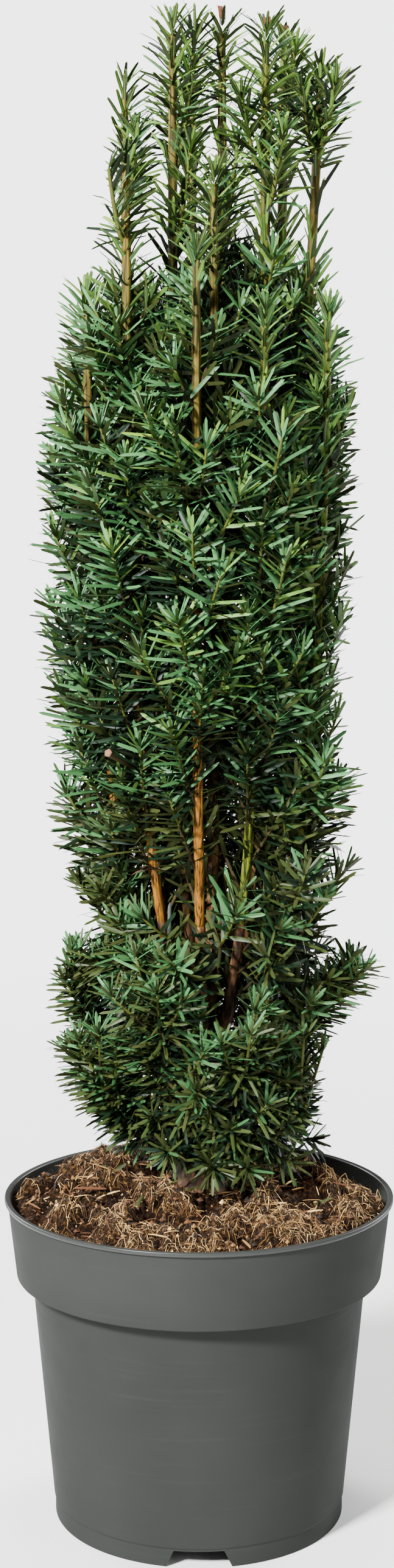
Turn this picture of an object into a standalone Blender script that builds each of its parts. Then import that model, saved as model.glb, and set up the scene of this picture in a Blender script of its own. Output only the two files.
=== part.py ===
# A columnar yew in a round nursery pot.
# Metres, +Z up, -Y to the front. The origin is the middle of the pot's underside.
# The plant stands on the pot's foot ring. A short flared trunk forks low into upright boughs.
# Each bough carries one mass of foliage, and low side masses stand round the trunk.

import math
import random

import bmesh
import bpy
import numpy as np
from mathutils import Vector

GAP = 0.0003                    # between solids that touch on the real plant
SEED = 417

# Pot
RIM_RADIUS = 0.1400
RIM_TOP = 0.2356
LIP_HEIGHT = 0.0034
LIP_OVERHANG = 0.0022
COLLAR_BOTTOM = 0.1784          # the wider band below the rim ends here
COLLAR_FOOT_RADIUS = 0.1316
COLLAR_STEP = 0.0109            # how far the wall steps in below the collar
FOOT_RADIUS = 0.1048
WALL = 0.0022
FOOT_WALL = 0.0034              # thickness of the ring that the pot stands on
FOOT_STEP = 0.0009              # the body stands out past the foot ring by this
FLOOR_HEIGHT = 0.0140           # underside of the raised floor
POT_SEGMENTS = 40
NOTCHES = 3                     # drainage notches round the foot, one in front
NOTCH_HEIGHT = 0.0120
NOTCH_TOP = 0.0350
NOTCH_BOTTOM = 0.0470

# Soil
SOIL_TOP = 0.2420               # the filling is heaped a little over the rim
SOIL_EDGE = 0.2270
SOIL_SHOULDER = 0.2365
SOIL_SHOULDER_RADIUS = 0.1130
SOIL_FLAT = 0.0300              # level patch round the trunk
SOIL_RELIEF = 0.0012
SOIL_SEGMENTS = 32

# Trunk
TRUNK_FOOT = SOIL_TOP + GAP
TRUNK_TOP = 0.3660
TRUNK_LEAN = 0.0700             # sideways shift to +X for each metre of height
FLARE_RADIUS = 0.0235
TRUNK_RADIUS = 0.0145
TRUNK_TOP_RADIUS = 0.0080
TRUNK_SIDES = 10
COLLAR_LENGTH = 0.0120          # branch collar that stands out of the trunk
LOWEST_FORK = 0.2740
HIGHEST_FORK = 0.3440

# Boughs
BOUGH_SIDES = 5
BOUGH_BASE_RADIUS = 0.0044
BOUGH_TIP_RADIUS = 0.0035       # where a bough enters its mass
BOUGH_STEP = 0.0400
INNER_CROWN_BASE = 0.6800       # height at which an inner bough enters its mass
OUTER_CROWN_BASE = 0.3800

# Foliage
STEM_TIP_RADIUS = 0.0013
STEM_TOP_RADIUS = 0.0027        # just below the tuft at a leader's tip
SPRAY_LENGTH = 0.0560
SPRAY_STEP = 0.0375             # height between one side shoot and the next
SPRAY_FOOT_RADIUS = 0.0017
SPRAY_RADIUS = 0.0042           # the slim core that a side shoot's needles stand out of
SPRAY_BAND = 0.0150
SPRAY_NEEDLE = 0.0330           # larger than life, because these needles are few
SPRAY_RISE = math.radians(48)   # angle of a side shoot above the level
SPRAY_BEND = 0.15               # how far a side shoot's tip bends up, as a share of its length
DENSE_TOP = 0.8600              # side shoots stop here, and thin leaders stand above
SPARSE_STEP = 0.0360            # between whorls on a leader's thin upper stem
CROWN_TOP = 1.0700
LOW_CROWN_TOP = 0.4550
LOW_ROOM = 0.0060               # height above the soil that foliage keeps
LOW_SPRAYS = 7
LOW_ROOT = 0.0100               # a low mass leaves the trunk at least this far above the soil
LOW_ROOT_SHARE = 0.12
LOW_ROOT_CLEAR = 1.06           # clears the ridges of the trunk
LOW_STEM_RADIUS = 0.0026
LOW_STEM_TIP_RADIUS = 0.0020
LOW_SLACK = 1.08                # how far past its own reach a low mass's needles may go
TERMINAL = 0.0620               # length of the dense tuft at a leader's tip
BAND = 0.0090                   # height of one whorl of needles
NEEDLE = 0.0275
END_SHARE = 0.60                # length of a twig's end needle, as a share of a needle
NEEDLE_TILT = math.radians(46)  # between a needle and its twig
NEEDLE_ROOM = 0.0024            # half of the room that a needle takes across itself
ATTEMPTS = 14                   # places tried before a side shoot is skipped
TURN = math.radians(137.5)      # from one side shoot to the next
CLEARANCE = 0.0010

# Upright leaders: where each tip stands, and how fast its bough spreads out from the trunk.
# The last value is the rise over which a bough covers most of its way outward.
SWIFT, QUICK, SLOW = 0.090, 0.150, 0.420
LEADERS = {
    "centre": (Vector((0.016, 0.010, 1.067)), SWIFT),
    "centre_left": (Vector((-0.018, -0.008, 1.063)), SWIFT),
    "centre_right": (Vector((0.045, -0.020, 1.056)), SWIFT),
    "inner_left": (Vector((-0.052, 0.034, 1.032)), QUICK),
    "inner_right": (Vector((0.059, 0.034, 1.060)), QUICK),
    "inner_front": (Vector((0.010, -0.034, 0.960)), SWIFT),
    "inner_back": (Vector((-0.005, 0.045, 1.048)), SWIFT),
    "right": (Vector((0.084, 0.004, 1.034)), SLOW),
    "left": (Vector((-0.078, -0.006, 0.883)), QUICK),
    "front_left": (Vector((-0.049, -0.048, 0.971)), QUICK),
    "front": (Vector((-0.002, -0.078, 0.905)), QUICK),
    "front_right": (Vector((0.044, -0.066, 0.868)), QUICK),
    "side_right": (Vector((0.087, -0.040, 0.870)), QUICK),
    "back_right": (Vector((0.070, 0.064, 0.900)), QUICK),
    "back": (Vector((0.018, 0.080, 0.915)), QUICK),
    "back_left": (Vector((-0.034, 0.074, 0.895)), QUICK),
    "side_left": (Vector((-0.080, 0.040, 0.868)), QUICK),
}
INNER = (
    "centre", "centre_left", "centre_right",
    "inner_left", "inner_right", "inner_front", "inner_back",
)

# Low side masses: the way each one faces, how far it reaches, and the height of its tip.
LOW_MASSES = {
    "low_front_left": (247, 0.082, 0.392),
    "low_front_right": (298, 0.074, 0.350),
    "low_right": (352, 0.118, 0.402),
    "low_right_foot": (330, 0.088, 0.312),
    "low_back_right": (38, 0.085, 0.390),
    "low_back": (85, 0.085, 0.400),
    "low_back_left": (132, 0.085, 0.390),
    "low_left": (180, 0.092, 0.400),
    "low_left_foot": (213, 0.085, 0.325),
}

# The crown's outline: height, reach to the left, reach to the right.
OUTLINE = (
    (0.230, 0.075, 0.085),
    (0.300, 0.090, 0.106),
    (0.345, 0.104, 0.085),
    (0.400, 0.098, 0.120),
    (0.437, 0.082, 0.098),
    (0.480, 0.107, 0.118),
    (0.530, 0.106, 0.120),
    (0.580, 0.113, 0.103),
    (0.655, 0.119, 0.108),
    (0.720, 0.115, 0.113),
    (0.840, 0.108, 0.108),
    (0.880, 0.094, 0.092),
    (0.950, 0.070, 0.094),
    (1.010, 0.062, 0.108),
    (1.070, 0.050, 0.090),
)


def material(name, colour, roughness):
    made = bpy.data.materials.new(name)
    made.use_nodes = True
    shader = made.node_tree.nodes["Principled BSDF"]
    shader.inputs["Base Color"].default_value = (*colour, 1.0)
    shader.inputs["Roughness"].default_value = roughness
    shader.inputs["Metallic"].default_value = 0.0
    return made


def new_object(name, vertices, faces, finish):
    mesh = bpy.data.meshes.new(name)
    mesh.from_pydata([tuple(v) for v in vertices], [], faces)
    mesh.materials.append(finish)
    made = bpy.data.objects.new(name, mesh)
    bpy.context.scene.collection.objects.link(made)
    return made


def turned(name, profile, segments, finish):
    """Turn a profile of (radius, height) about the Z axis, with a flat disc at both its ends."""
    vertices = []
    faces = [tuple(reversed(range(segments)))]
    for radius, height in profile:
        for k in range(segments):
            angle = 2 * math.pi * k / segments
            vertices.append((radius * math.cos(angle), radius * math.sin(angle), height))
    for row in range(len(profile) - 1):
        low = row * segments
        high = low + segments
        for k in range(segments):
            j = (k + 1) % segments
            faces.append((low + k, low + j, high + j, high + k))
    last = (len(profile) - 1) * segments
    faces.append(tuple(range(last, last + segments)))
    return new_object(name, vertices, faces, finish)


def rings(centres, directions, radii, sides, twist=0.0):
    """Rows of points round a line, one row for each centre."""
    rows = []
    side = directions[0].orthogonal().normalized()
    for k, (centre, direction, radius) in enumerate(zip(centres, directions, radii)):
        side = (side - direction * side.dot(direction)).normalized()
        across = direction.cross(side)
        row = []
        for i in range(sides):
            angle = 2 * math.pi * i / sides + twist * k
            row.append(centre + (side * math.cos(angle) + across * math.sin(angle)) * radius)
        rows.append(row)
    return rows


def tube(name, rows, finish):
    """A closed tube through rows of points."""
    sides = len(rows[0])
    vertices = [point for row in rows for point in row]
    faces = [tuple(reversed(range(sides)))]
    for k in range(len(rows) - 1):
        for i in range(sides):
            j = (i + 1) % sides
            faces.append((k * sides + i, k * sides + j, (k + 1) * sides + j, (k + 1) * sides + i))
    last = (len(rows) - 1) * sides
    faces.append(tuple(range(last, last + sides)))
    return new_object(name, vertices, faces, finish)


def join_solids(base, pieces):
    """One Boolean union of the base with a collection of solids, applied."""
    group = bpy.data.collections.new(base.name + "_pieces")
    bpy.context.scene.collection.children.link(group)
    for piece in pieces:
        bpy.context.scene.collection.objects.unlink(piece)
        group.objects.link(piece)
    union = base.modifiers.new("union", "BOOLEAN")
    union.operation = "UNION"
    union.operand_type = "COLLECTION"
    union.collection = group
    union.solver = "MANIFOLD"
    graph = bpy.context.evaluated_depsgraph_get()
    graph.update()
    joined = bpy.data.meshes.new_from_object(base.evaluated_get(graph))
    base.modifiers.remove(union)
    keep_main_shell(joined)
    base.data = joined
    for piece in pieces:
        bpy.data.objects.remove(piece)
    bpy.data.collections.remove(group)


def keep_main_shell(mesh):
    """Fill the tiny hollows that joining seals, and drop loose scraps, by their shells."""
    work = bmesh.new()
    work.from_mesh(mesh)
    left = set(work.verts)
    shells = []
    while left:
        shell = set()
        edge = [left.pop()]
        while edge:
            vertex = edge.pop()
            shell.add(vertex)
            for link in vertex.link_edges:
                other = link.other_vert(vertex)
                if other in left:
                    left.remove(other)
                    edge.append(other)
        shells.append(shell)
    main = max(shells, key=len)
    for shell in shells:
        if shell is not main:
            bmesh.ops.delete(work, geom=list(shell), context="VERTS")
    work.to_mesh(mesh)
    work.free()


class Space:
    """The room that solids already take, as rounded rods."""

    def __init__(self):
        self.starts = []
        self.ends = []
        self.radii = []
        self.owners = []

    def add(self, start, end, radius, owner):
        self.starts.append(tuple(start))
        self.ends.append(tuple(end))
        self.radii.append(radius)
        self.owners.append(owner)

    def is_clear(self, start, end, radius, exempt):
        """True where a rod keeps its clearance to every rod of other owners."""
        others = np.array([name not in exempt for name in self.owners])
        if not others.any():
            return True
        a = np.array(self.starts)[others]
        b = np.array(self.ends)[others]
        reach = np.array(self.radii)[others] + radius + CLEARANCE
        return bool((rod_gaps(np.array(start), np.array(end), a, b) > reach).all())


def rod_gaps(p, q, starts, ends):
    """Least distance from the line p to q to each line from starts to ends."""
    own = q - p
    other = ends - starts
    between = p - starts
    own_square = max(float(own @ own), 1e-12)
    other_square = np.maximum((other * other).sum(axis=1), 1e-12)
    own_part = between @ own
    other_part = (other * between).sum(axis=1)
    product = other @ own
    spread = own_square * other_square - product * product
    along = np.where(spread > 1e-14, product * other_part - own_part * other_square, 0.0)
    along = np.clip(along / np.maximum(spread, 1e-14), 0.0, 1.0)
    across = np.clip((product * along + other_part) / other_square, 0.0, 1.0)
    along = np.clip((product * across - own_part) / own_square, 0.0, 1.0)
    near = p + along[:, None] * own
    far = starts + across[:, None] * other
    return np.linalg.norm(near - far, axis=1)


def reach_at(height, angle):
    """How far the crown reaches at a height, seen in a direction."""
    heights = [row[0] for row in OUTLINE]
    left = float(np.interp(height, heights, [row[1] for row in OUTLINE]))
    right = float(np.interp(height, heights, [row[2] for row in OUTLINE]))
    share = 0.5 + 0.5 * math.cos(angle)
    return left + (right - left) * share


def trunk_axis(height):
    return Vector((TRUNK_LEAN * (height - TRUNK_FOOT), 0.0, height))


def trunk_radius(height):
    """The flare dies out a few centimetres above the soil, and the rest tapers."""
    rise = height - TRUNK_FOOT
    flare = (FLARE_RADIUS - TRUNK_RADIUS) * math.exp(-rise / 0.010)
    taper = (TRUNK_RADIUS - TRUNK_TOP_RADIUS) * rise / (TRUNK_TOP - TRUNK_FOOT)
    return TRUNK_RADIUS + flare - taper


def fork_height(name):
    """Outer boughs leave the trunk lowest, inner boughs highest."""
    distance = {key: value[0].xy.length for key, value in LEADERS.items()}
    order = sorted(LEADERS, key=lambda key: -distance[key])
    share = order.index(name) / (len(order) - 1)
    return LOWEST_FORK + (HIGHEST_FORK - LOWEST_FORK) * share


def leader_point(name, height):
    """A bough spreads from its fork and then turns upright towards its tip."""
    tip, rise = LEADERS[name]
    fork = fork_height(name)
    foot = trunk_axis(fork)
    whole = 1 - math.exp(-(tip.z - fork) / rise)
    share = (1 - math.exp(-(height - fork) / rise)) / whole
    flat = foot.xy.lerp(tip.xy, share)
    return Vector((flat.x, flat.y, height))


def leader_direction(name, height):
    step = 0.002
    return (leader_point(name, height + step) - leader_point(name, height - step)).normalized()


def leader_radius(name, height):
    """Taper from the fork to the mass, and on to the tip."""
    tip = LEADERS[name][0]
    base = crown_base(name)
    if height < base:
        share = (height - fork_height(name)) / (base - fork_height(name))
        return BOUGH_BASE_RADIUS + (BOUGH_TIP_RADIUS - BOUGH_BASE_RADIUS) * share
    tuft = tip.z - TERMINAL
    if height < tuft:
        share = (height - base) / (tuft - base)
        return BOUGH_TIP_RADIUS + (STEM_TOP_RADIUS - BOUGH_TIP_RADIUS) * share
    share = (height - tuft) / TERMINAL
    return STEM_TOP_RADIUS + (STEM_TIP_RADIUS - STEM_TOP_RADIUS) * share


def crown_base(name):
    if name in INNER:
        return INNER_CROWN_BASE
    return OUTER_CROWN_BASE


def collar_height(name):
    """Height at which the bough starts, clear of the trunk's side."""
    height = fork_height(name)
    while True:
        centre = leader_point(name, height)
        out = (centre.xy - trunk_axis(height).xy).length
        if out > trunk_radius(height) + COLLAR_LENGTH:
            return height
        if height > TRUNK_TOP + COLLAR_LENGTH:
            return height
        height += 0.0005


def pot(finish):
    """A thin-walled pot: raised floor, foot ring with notches, wider collar and rolled lip."""
    collar_top = RIM_RADIUS - LIP_OVERHANG
    body_top = COLLAR_FOOT_RADIUS - COLLAR_STEP
    body_foot = FOOT_RADIUS + FOOT_STEP
    underside = [
        (FOOT_RADIUS - FOOT_WALL, FLOOR_HEIGHT),
        (FOOT_RADIUS - FOOT_WALL, 0.0),
        (FOOT_RADIUS - 0.0006, 0.0),
    ]
    outer = [
        (FOOT_RADIUS, FLOOR_HEIGHT - 0.0004),
        (body_foot, FLOOR_HEIGHT + 0.0004),
        (body_top, COLLAR_BOTTOM + 0.0004),
        (COLLAR_FOOT_RADIUS - 0.0010, COLLAR_BOTTOM),
        (COLLAR_FOOT_RADIUS, COLLAR_BOTTOM + 0.0012),
        (collar_top, RIM_TOP - LIP_HEIGHT),
        (RIM_RADIUS, RIM_TOP - LIP_HEIGHT + 0.0010),
        (RIM_RADIUS, RIM_TOP - 0.0012),
        (RIM_RADIUS - 0.0014, RIM_TOP),
        (RIM_RADIUS - 0.0040, RIM_TOP - 0.0006),
    ]
    inner = [
        (collar_top - WALL, RIM_TOP - LIP_HEIGHT),
        (COLLAR_FOOT_RADIUS - WALL, COLLAR_BOTTOM + WALL + 0.0004),
        (body_top - WALL, COLLAR_BOTTOM + WALL),
        (body_foot - WALL, FLOOR_HEIGHT + WALL),
    ]
    made = turned("pot", underside + outer + inner, POT_SEGMENTS, finish)
    for index in range(NOTCHES):
        cut = made.modifiers.new("notch", "BOOLEAN")
        cut.operation = "DIFFERENCE"
        cut.object = notch_cutter(index, finish)
    made.data.shade_smooth()
    made.data.set_sharp_from_angle(angle=math.radians(35))
    return made


def notch_cutter(index, finish):
    """A block with slanted sides that opens the foot ring from below."""
    inside = FOOT_RADIUS * 0.85
    outside = FOOT_RADIUS + 0.0200
    vertices = []
    for reach in (inside, outside):
        for width, height in ((NOTCH_BOTTOM, -0.0010), (NOTCH_TOP, NOTCH_HEIGHT)):
            vertices.append((-width / 2, -reach, height))
            vertices.append((width / 2, -reach, height))
    faces = [(0, 2, 3, 1), (4, 5, 7, 6), (0, 1, 5, 4), (2, 6, 7, 3), (0, 4, 6, 2), (1, 3, 7, 5)]
    cutter = new_object("notch_cutter_%d" % index, vertices, faces, finish)
    cutter.rotation_euler.z = 2 * math.pi * index / NOTCHES
    cutter.hide_render = True
    cutter.display_type = "WIRE"
    return cutter


def soil(finish):
    """The filling: it keeps clear of the pot's wall and floor, with a gently uneven top."""
    profile = [
        (FOOT_RADIUS + FOOT_STEP - WALL - 3 * GAP, FLOOR_HEIGHT + WALL + GAP),
        (COLLAR_FOOT_RADIUS - COLLAR_STEP - WALL - 2 * GAP, COLLAR_BOTTOM + WALL + GAP),
        (COLLAR_FOOT_RADIUS - WALL - 3 * GAP, COLLAR_BOTTOM + WALL + 3 * GAP),
        (RIM_RADIUS - LIP_OVERHANG - WALL - 5 * GAP, SOIL_EDGE),
        (SOIL_SHOULDER_RADIUS, SOIL_SHOULDER),
        (0.5 * (SOIL_SHOULDER_RADIUS + SOIL_FLAT), SOIL_TOP),
        (SOIL_FLAT, SOIL_TOP),
    ]
    made = turned("soil", profile, SOIL_SEGMENTS, finish)
    generator = random.Random(SEED)
    for vertex in made.data.vertices:
        between = SOIL_FLAT < vertex.co.xy.length - GAP < SOIL_SHOULDER_RADIUS
        if between and vertex.co.z > SOIL_EDGE:
            vertex.co.z += generator.uniform(-SOIL_RELIEF, SOIL_RELIEF)
    return made


def trunk(finish, space):
    """A leaning, flared stump with a collar for each bough fused to it."""
    levels = [0.0, 0.003, 0.008, 0.018, 0.038, 0.070, 0.105, TRUNK_TOP - TRUNK_FOOT]
    rows = []
    for rise in levels:
        height = TRUNK_FOOT + rise
        centre = trunk_axis(height)
        ridge = 0.20 * math.exp(-rise / 0.014)
        row = []
        for i in range(TRUNK_SIDES):
            angle = 2 * math.pi * i / TRUNK_SIDES
            radius = trunk_radius(height) * (1 + ridge * math.cos(3 * angle + 0.6))
            row.append(centre + Vector((radius * math.cos(angle), radius * math.sin(angle), 0)))
        rows.append(row)
        space.add(centre, trunk_axis(height + 0.004), trunk_radius(height) * 1.05, "trunk")
    made = tube("trunk", rows, finish)
    collars = []
    for name in LEADERS:
        end = collar_height(name)
        start = fork_height(name)
        heights = [start + (end - start) * k / 2 for k in range(3)]
        centres = [leader_point(name, height) for height in heights]
        directions = [leader_direction(name, height) for height in heights]
        swell = [1.6, 1.3, 1.0]
        radii = [leader_radius(name, end) * more for more in swell]
        collars.append(tube("collar", rings(centres, directions, radii, BOUGH_SIDES), finish))
        for k in range(2):
            space.add(centres[k], centres[k + 1], radii[k], "trunk")
    join_solids(made, collars)
    return made


def bough(name, finish, space):
    """One tapering limb, from its collar on the trunk to its mass of foliage."""
    start = collar_height(name)
    start += GAP * leader_direction(name, start).z
    end = crown_base(name)
    count = max(3, round((end - start) / BOUGH_STEP))
    heights = [start + (end - start) * k / count for k in range(count + 1)]
    centres = [leader_point(name, height) for height in heights]
    directions = [leader_direction(name, height) for height in heights]
    radii = [leader_radius(name, height) for height in heights]
    for k in range(count):
        space.add(centres[k], centres[k + 1], radii[k], "bough_" + name)
    made = tube("bough_" + name, rings(centres, directions, radii, BOUGH_SIDES), finish)
    made.data.shade_smooth()
    made.data.set_sharp_from_angle(angle=math.radians(62))
    return made


def needled_rod(name, centres, radii, needled, length, finish, allowed, owner, space):
    """A three-sided twig whose whorls of needles are drawn out of its own facets.

    Every ring is turned by sixty degrees, so each band has three facets that point up the twig.
    A needle is such a facet drawn out to a tip, where the tip is allowed.
    """
    directions = []
    for k in range(len(centres)):
        ahead = centres[min(k + 1, len(centres) - 1)]
        behind = centres[max(k - 1, 0)]
        directions.append((ahead - behind).normalized())
    rows = rings(centres, directions, radii, 3, math.pi / 3)
    vertices = [point for row in rows for point in row]
    faces = [(2, 1, 0)]
    for k in range(len(rows) - 1):
        space.add(centres[k], centres[k + 1], max(radii[k], radii[k + 1]), owner)
    for k in range(len(rows) - 1):
        low = 3 * k
        high = low + 3
        for i in range(3):
            j = (i + 1) % 3
            faces.append((low + j, high + j, high + i))
            upward = (low + i, low + j, high + i)
            middle = (vertices[low + i] + vertices[low + j] + vertices[high + i]) / 3
            out = middle - centres[k]
            out = (out - directions[k] * out.dot(directions[k])).normalized()
            aim = directions[k] * math.cos(NEEDLE_TILT) + out * math.sin(NEEDLE_TILT)
            tip = middle + aim * length
            if needled[k] and allowed(middle, tip, owner):
                space.add(middle, tip, NEEDLE_ROOM, owner)
                top = len(vertices)
                vertices.append(tip)
                faces.append((upward[0], upward[1], top))
                faces.append((upward[1], upward[2], top))
                faces.append((upward[2], upward[0], top))
            else:
                faces.append(upward)
    last = 3 * (len(rows) - 1)
    end = centres[-1] + directions[-1] * NEEDLE * END_SHARE
    space.add(centres[-1], end, radii[-1], owner)
    top = len(vertices)
    vertices.append(end)
    for i in range(3):
        faces.append((last + i, last + (i + 1) % 3, top))
    return new_object(name, vertices, faces, finish)


def in_leader_cell(name, point):
    """True where a point is nearer to this leader than to any other at its height."""
    angle = math.atan2(point.y, point.x)
    if point.xy.length > reach_at(point.z, angle):
        return False
    own = (leader_point(name, min(point.z, LEADERS[name][0].z)).xy - point.xy).length
    for other, (tip, _) in LEADERS.items():
        if other == name or point.z > tip.z + NEEDLE:
            continue
        if other in INNER and point.z < INNER_CROWN_BASE - NEEDLE:
            continue
        if (leader_point(other, point.z).xy - point.xy).length < own:
            return False
    return True


def stem_levels(start, end, dense_top):
    """Heights of a leader's rings from foot to tip, and which bands carry needles."""
    down = [end]
    needled = []
    while down[-1] > end - TERMINAL:
        down.append(down[-1] - BAND)
        needled.append(True)
    while down[-1] > dense_top:
        down.append(down[-1] - SPARSE_STEP + BAND)
        needled.append(False)
        down.append(down[-1] - BAND)
        needled.append(True)
    rest = down[-1] - start
    count = max(1, round(rest / SPRAY_STEP))
    for k in range(count):
        down.append(down[-1] - rest / count)
        needled.append(False)
    return list(reversed(down)), list(reversed(needled))


def point_on(centres, height):
    """The point at a height on the straight runs between a stem's ring centres."""
    for low, high in zip(centres, centres[1:]):
        if height <= high.z:
            return low.lerp(high, (height - low.z) / (high.z - low.z))
    return centres[-1]


def spray_line(root, aim, length):
    """A side shoot that bends up: a bare foot, then a whorl of needles on each band."""
    bands = max(2, round((length - SPRAY_BAND) / SPRAY_BAND))
    foot = length - bands * SPRAY_BAND
    distances = [0.0] + [foot + SPRAY_BAND * k for k in range(bands + 1)]
    centres = []
    for distance in distances:
        bend = SPRAY_BEND * distance * distance / length
        centres.append(root + aim * distance + Vector((0, 0, bend)))
    radii = [SPRAY_FOOT_RADIUS]
    radii += [SPRAY_RADIUS * (1 - 0.45 * k / bands) for k in range(bands + 1)]
    needled = [False] + [True] * bands
    return centres, radii, needled


def has_room(centres, name, in_space, space):
    """True where a side shoot, past its foot, stays in its space and clear of all else."""
    for k in range(1, len(centres) - 1):
        if not space.is_clear(centres[k], centres[k + 1], SPRAY_RADIUS, (name,)):
            return False
    run = (centres[-1] - centres[-2]).normalized()
    end = centres[-1] + run * NEEDLE * END_SHARE
    return in_space(end) and space.is_clear(centres[-1], end, SPRAY_RADIUS, (name,))


def add_sprays(stem, name, tries, finish, in_space, space):
    """Grow side shoots on a stem and join them to it.

    Each of the tries is a list of (root, aim, length), and the first that has room is grown.
    """
    def allowed(root, end, owner):
        return in_space(end) and space.is_clear(root, end, NEEDLE_ROOM, (owner,))

    shoots = []
    for index, choices in enumerate(tries):
        owner = "%s_%d" % (name, index)
        for root, aim, length in choices:
            centres, radii, needled = spray_line(root, aim, length)
            if has_room(centres, name, in_space, space):
                rod = ("spray", centres, radii, needled, SPRAY_NEEDLE)
                shoots.append(needled_rod(*rod, finish, allowed, owner, space))
                break
    join_solids(stem, shoots)


def leader_line(name):
    """A leader's stem inside its mass: ring centres, radii and the bands with needles."""
    tip = LEADERS[name][0]
    base = crown_base(name)
    start = base + GAP * leader_direction(name, base).z
    heights, needled = stem_levels(start, tip.z - END_SHARE * NEEDLE, dense_top(name))
    centres = [leader_point(name, height) for height in heights]
    radii = [leader_radius(name, height) for height in heights]
    return centres, radii, needled


def dense_top(name):
    return min(LEADERS[name][0].z - TERMINAL - SPRAY_STEP, DENSE_TOP)


def leader_mass(name, line, needles, space):
    """The foliage on one leader: stem, side shoots round it, and its tip."""
    owner = "foliage_" + name
    centres, radii, needled = line

    def in_space(point):
        return point.z < CROWN_TOP and in_leader_cell(name, point)

    def allowed(root, end, label):
        return in_space(end) and space.is_clear(root, end, NEEDLE_ROOM, (label,))

    rod = (owner, centres, radii, needled, NEEDLE)
    stem = needled_rod(*rod, needles, allowed, owner, space)
    generator = random.Random(SEED + list(LEADERS).index(name))
    angle = generator.uniform(0, 2 * math.pi)
    height = centres[0].z + 0.3 * SPRAY_STEP
    tries = []
    while height < dense_top(name):
        choices = []
        for attempt in range(ATTEMPTS):
            angle += TURN
            rise = SPRAY_RISE + generator.uniform(-0.15, 0.15) + 0.02 * attempt
            flat = Vector((math.cos(angle), math.sin(angle), 0)) * math.cos(rise)
            aim = flat + Vector((0, 0, math.sin(rise)))
            length = SPRAY_LENGTH * generator.uniform(0.85, 1.15) * (1 - 0.035 * attempt)
            choices.append((point_on(centres, height), aim, length))
        tries.append(choices)
        height += SPRAY_STEP * generator.uniform(0.8, 1.0)
    add_sprays(stem, owner, tries, needles, in_space, space)


def low_line(name):
    """A low mass's stem: outward from the trunk, then turning up."""
    facing, reach, top = LOW_MASSES[name]
    out = Vector((math.cos(math.radians(facing)), math.sin(math.radians(facing)), 0))
    foot = TRUNK_FOOT + LOW_ROOT + LOW_ROOT_SHARE * (top - TRUNK_FOOT)
    root = trunk_axis(foot) + out * (trunk_radius(foot) * LOW_ROOT_CLEAR + GAP)
    tip = Vector((out.x * reach, out.y * reach, top))
    bands = max(4, round((tip - root).length / SPRAY_BAND))
    centres = []
    for k in range(bands + 1):
        share = k / bands
        flat = root.xy.lerp(tip.xy, share ** 0.8)
        height = root.z + (tip.z - root.z) * share ** 1.35
        centres.append(Vector((flat.x, flat.y, height)))
    thinning = LOW_STEM_RADIUS - LOW_STEM_TIP_RADIUS
    radii = [LOW_STEM_RADIUS - thinning * k / bands for k in range(bands + 1)]
    needled = [k > bands * 0.5 for k in range(bands)]
    return centres, radii, needled


def low_mass(name, line, needles, space):
    """Foliage low on the trunk: a stem with side shoots to its left and right."""
    owner = "foliage_" + name
    centres, radii, needled = line
    facing, reach, top = LOW_MASSES[name]

    def in_space(point):
        if not SOIL_TOP + LOW_ROOM < point.z < LOW_CROWN_TOP:
            return False
        limit = max(reach_at(point.z, math.atan2(point.y, point.x)), reach * LOW_SLACK)
        return point.xy.length < limit

    def allowed(start, end, label):
        return in_space(end) and space.is_clear(start, end, NEEDLE_ROOM, (label,))

    rod = (owner, centres, radii, needled, SPRAY_NEEDLE)
    stem = needled_rod(*rod, needles, allowed, owner, space)
    generator = random.Random(SEED + 100 + list(LOW_MASSES).index(name))
    bands = len(needled)
    tries = []
    for k in range(LOW_SPRAYS):
        share = 0.28 + 0.62 * k / (LOW_SPRAYS - 1)
        choices = []
        for attempt in range(ATTEMPTS):
            side = 1 if (k + attempt) % 2 else -1
            turn = math.radians(facing) + side * generator.uniform(0.4, 1.3)
            rise = generator.uniform(-0.10, 1.0)
            flat = Vector((math.cos(turn), math.sin(turn), 0)) * math.cos(rise)
            aim = flat + Vector((0, 0, math.sin(rise)))
            length = SPRAY_LENGTH * generator.uniform(0.7, 1.0)
            choices.append((centres[round(share * bands)], aim, length))
        tries.append(choices)
    add_sprays(stem, owner, tries, needles, in_space, space)


def main():
    for item in list(bpy.data.objects):
        bpy.data.objects.remove(item)
    plastic = material("pot plastic", (0.125, 0.130, 0.127), 0.45)
    earth = material("coir and peat", (0.130, 0.075, 0.042), 0.95)
    bark = material("yew bark", (0.250, 0.110, 0.055), 0.85)
    needles = material("yew needles", (0.045, 0.105, 0.040), 0.50)
    space = Space()
    pot(plastic)
    soil(earth)
    trunk(bark, space)
    for name in LEADERS:
        bough(name, bark, space)
    lines = {name: leader_line(name) for name in LEADERS}
    lines.update({name: low_line(name) for name in LOW_MASSES})
    for name, (centres, radii, _) in lines.items():
        for k in range(len(centres) - 1):
            space.add(centres[k], centres[k + 1], radii[k], "foliage_" + name)
    for name in LEADERS:
        leader_mass(name, lines[name], needles, space)
    for name in LOW_MASSES:
        low_mass(name, lines[name], needles, space)


main()
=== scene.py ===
# The looks of a columnar yew in a round nursery pot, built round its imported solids.
# Metres, +Z up, -Y to the front. The crown grows by rules like those of the part's source,
# carried on to finer twigs and single needles.

import math
import random
from collections import namedtuple

import bpy
import numpy as np
from mathutils import Matrix, Vector, noise


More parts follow.
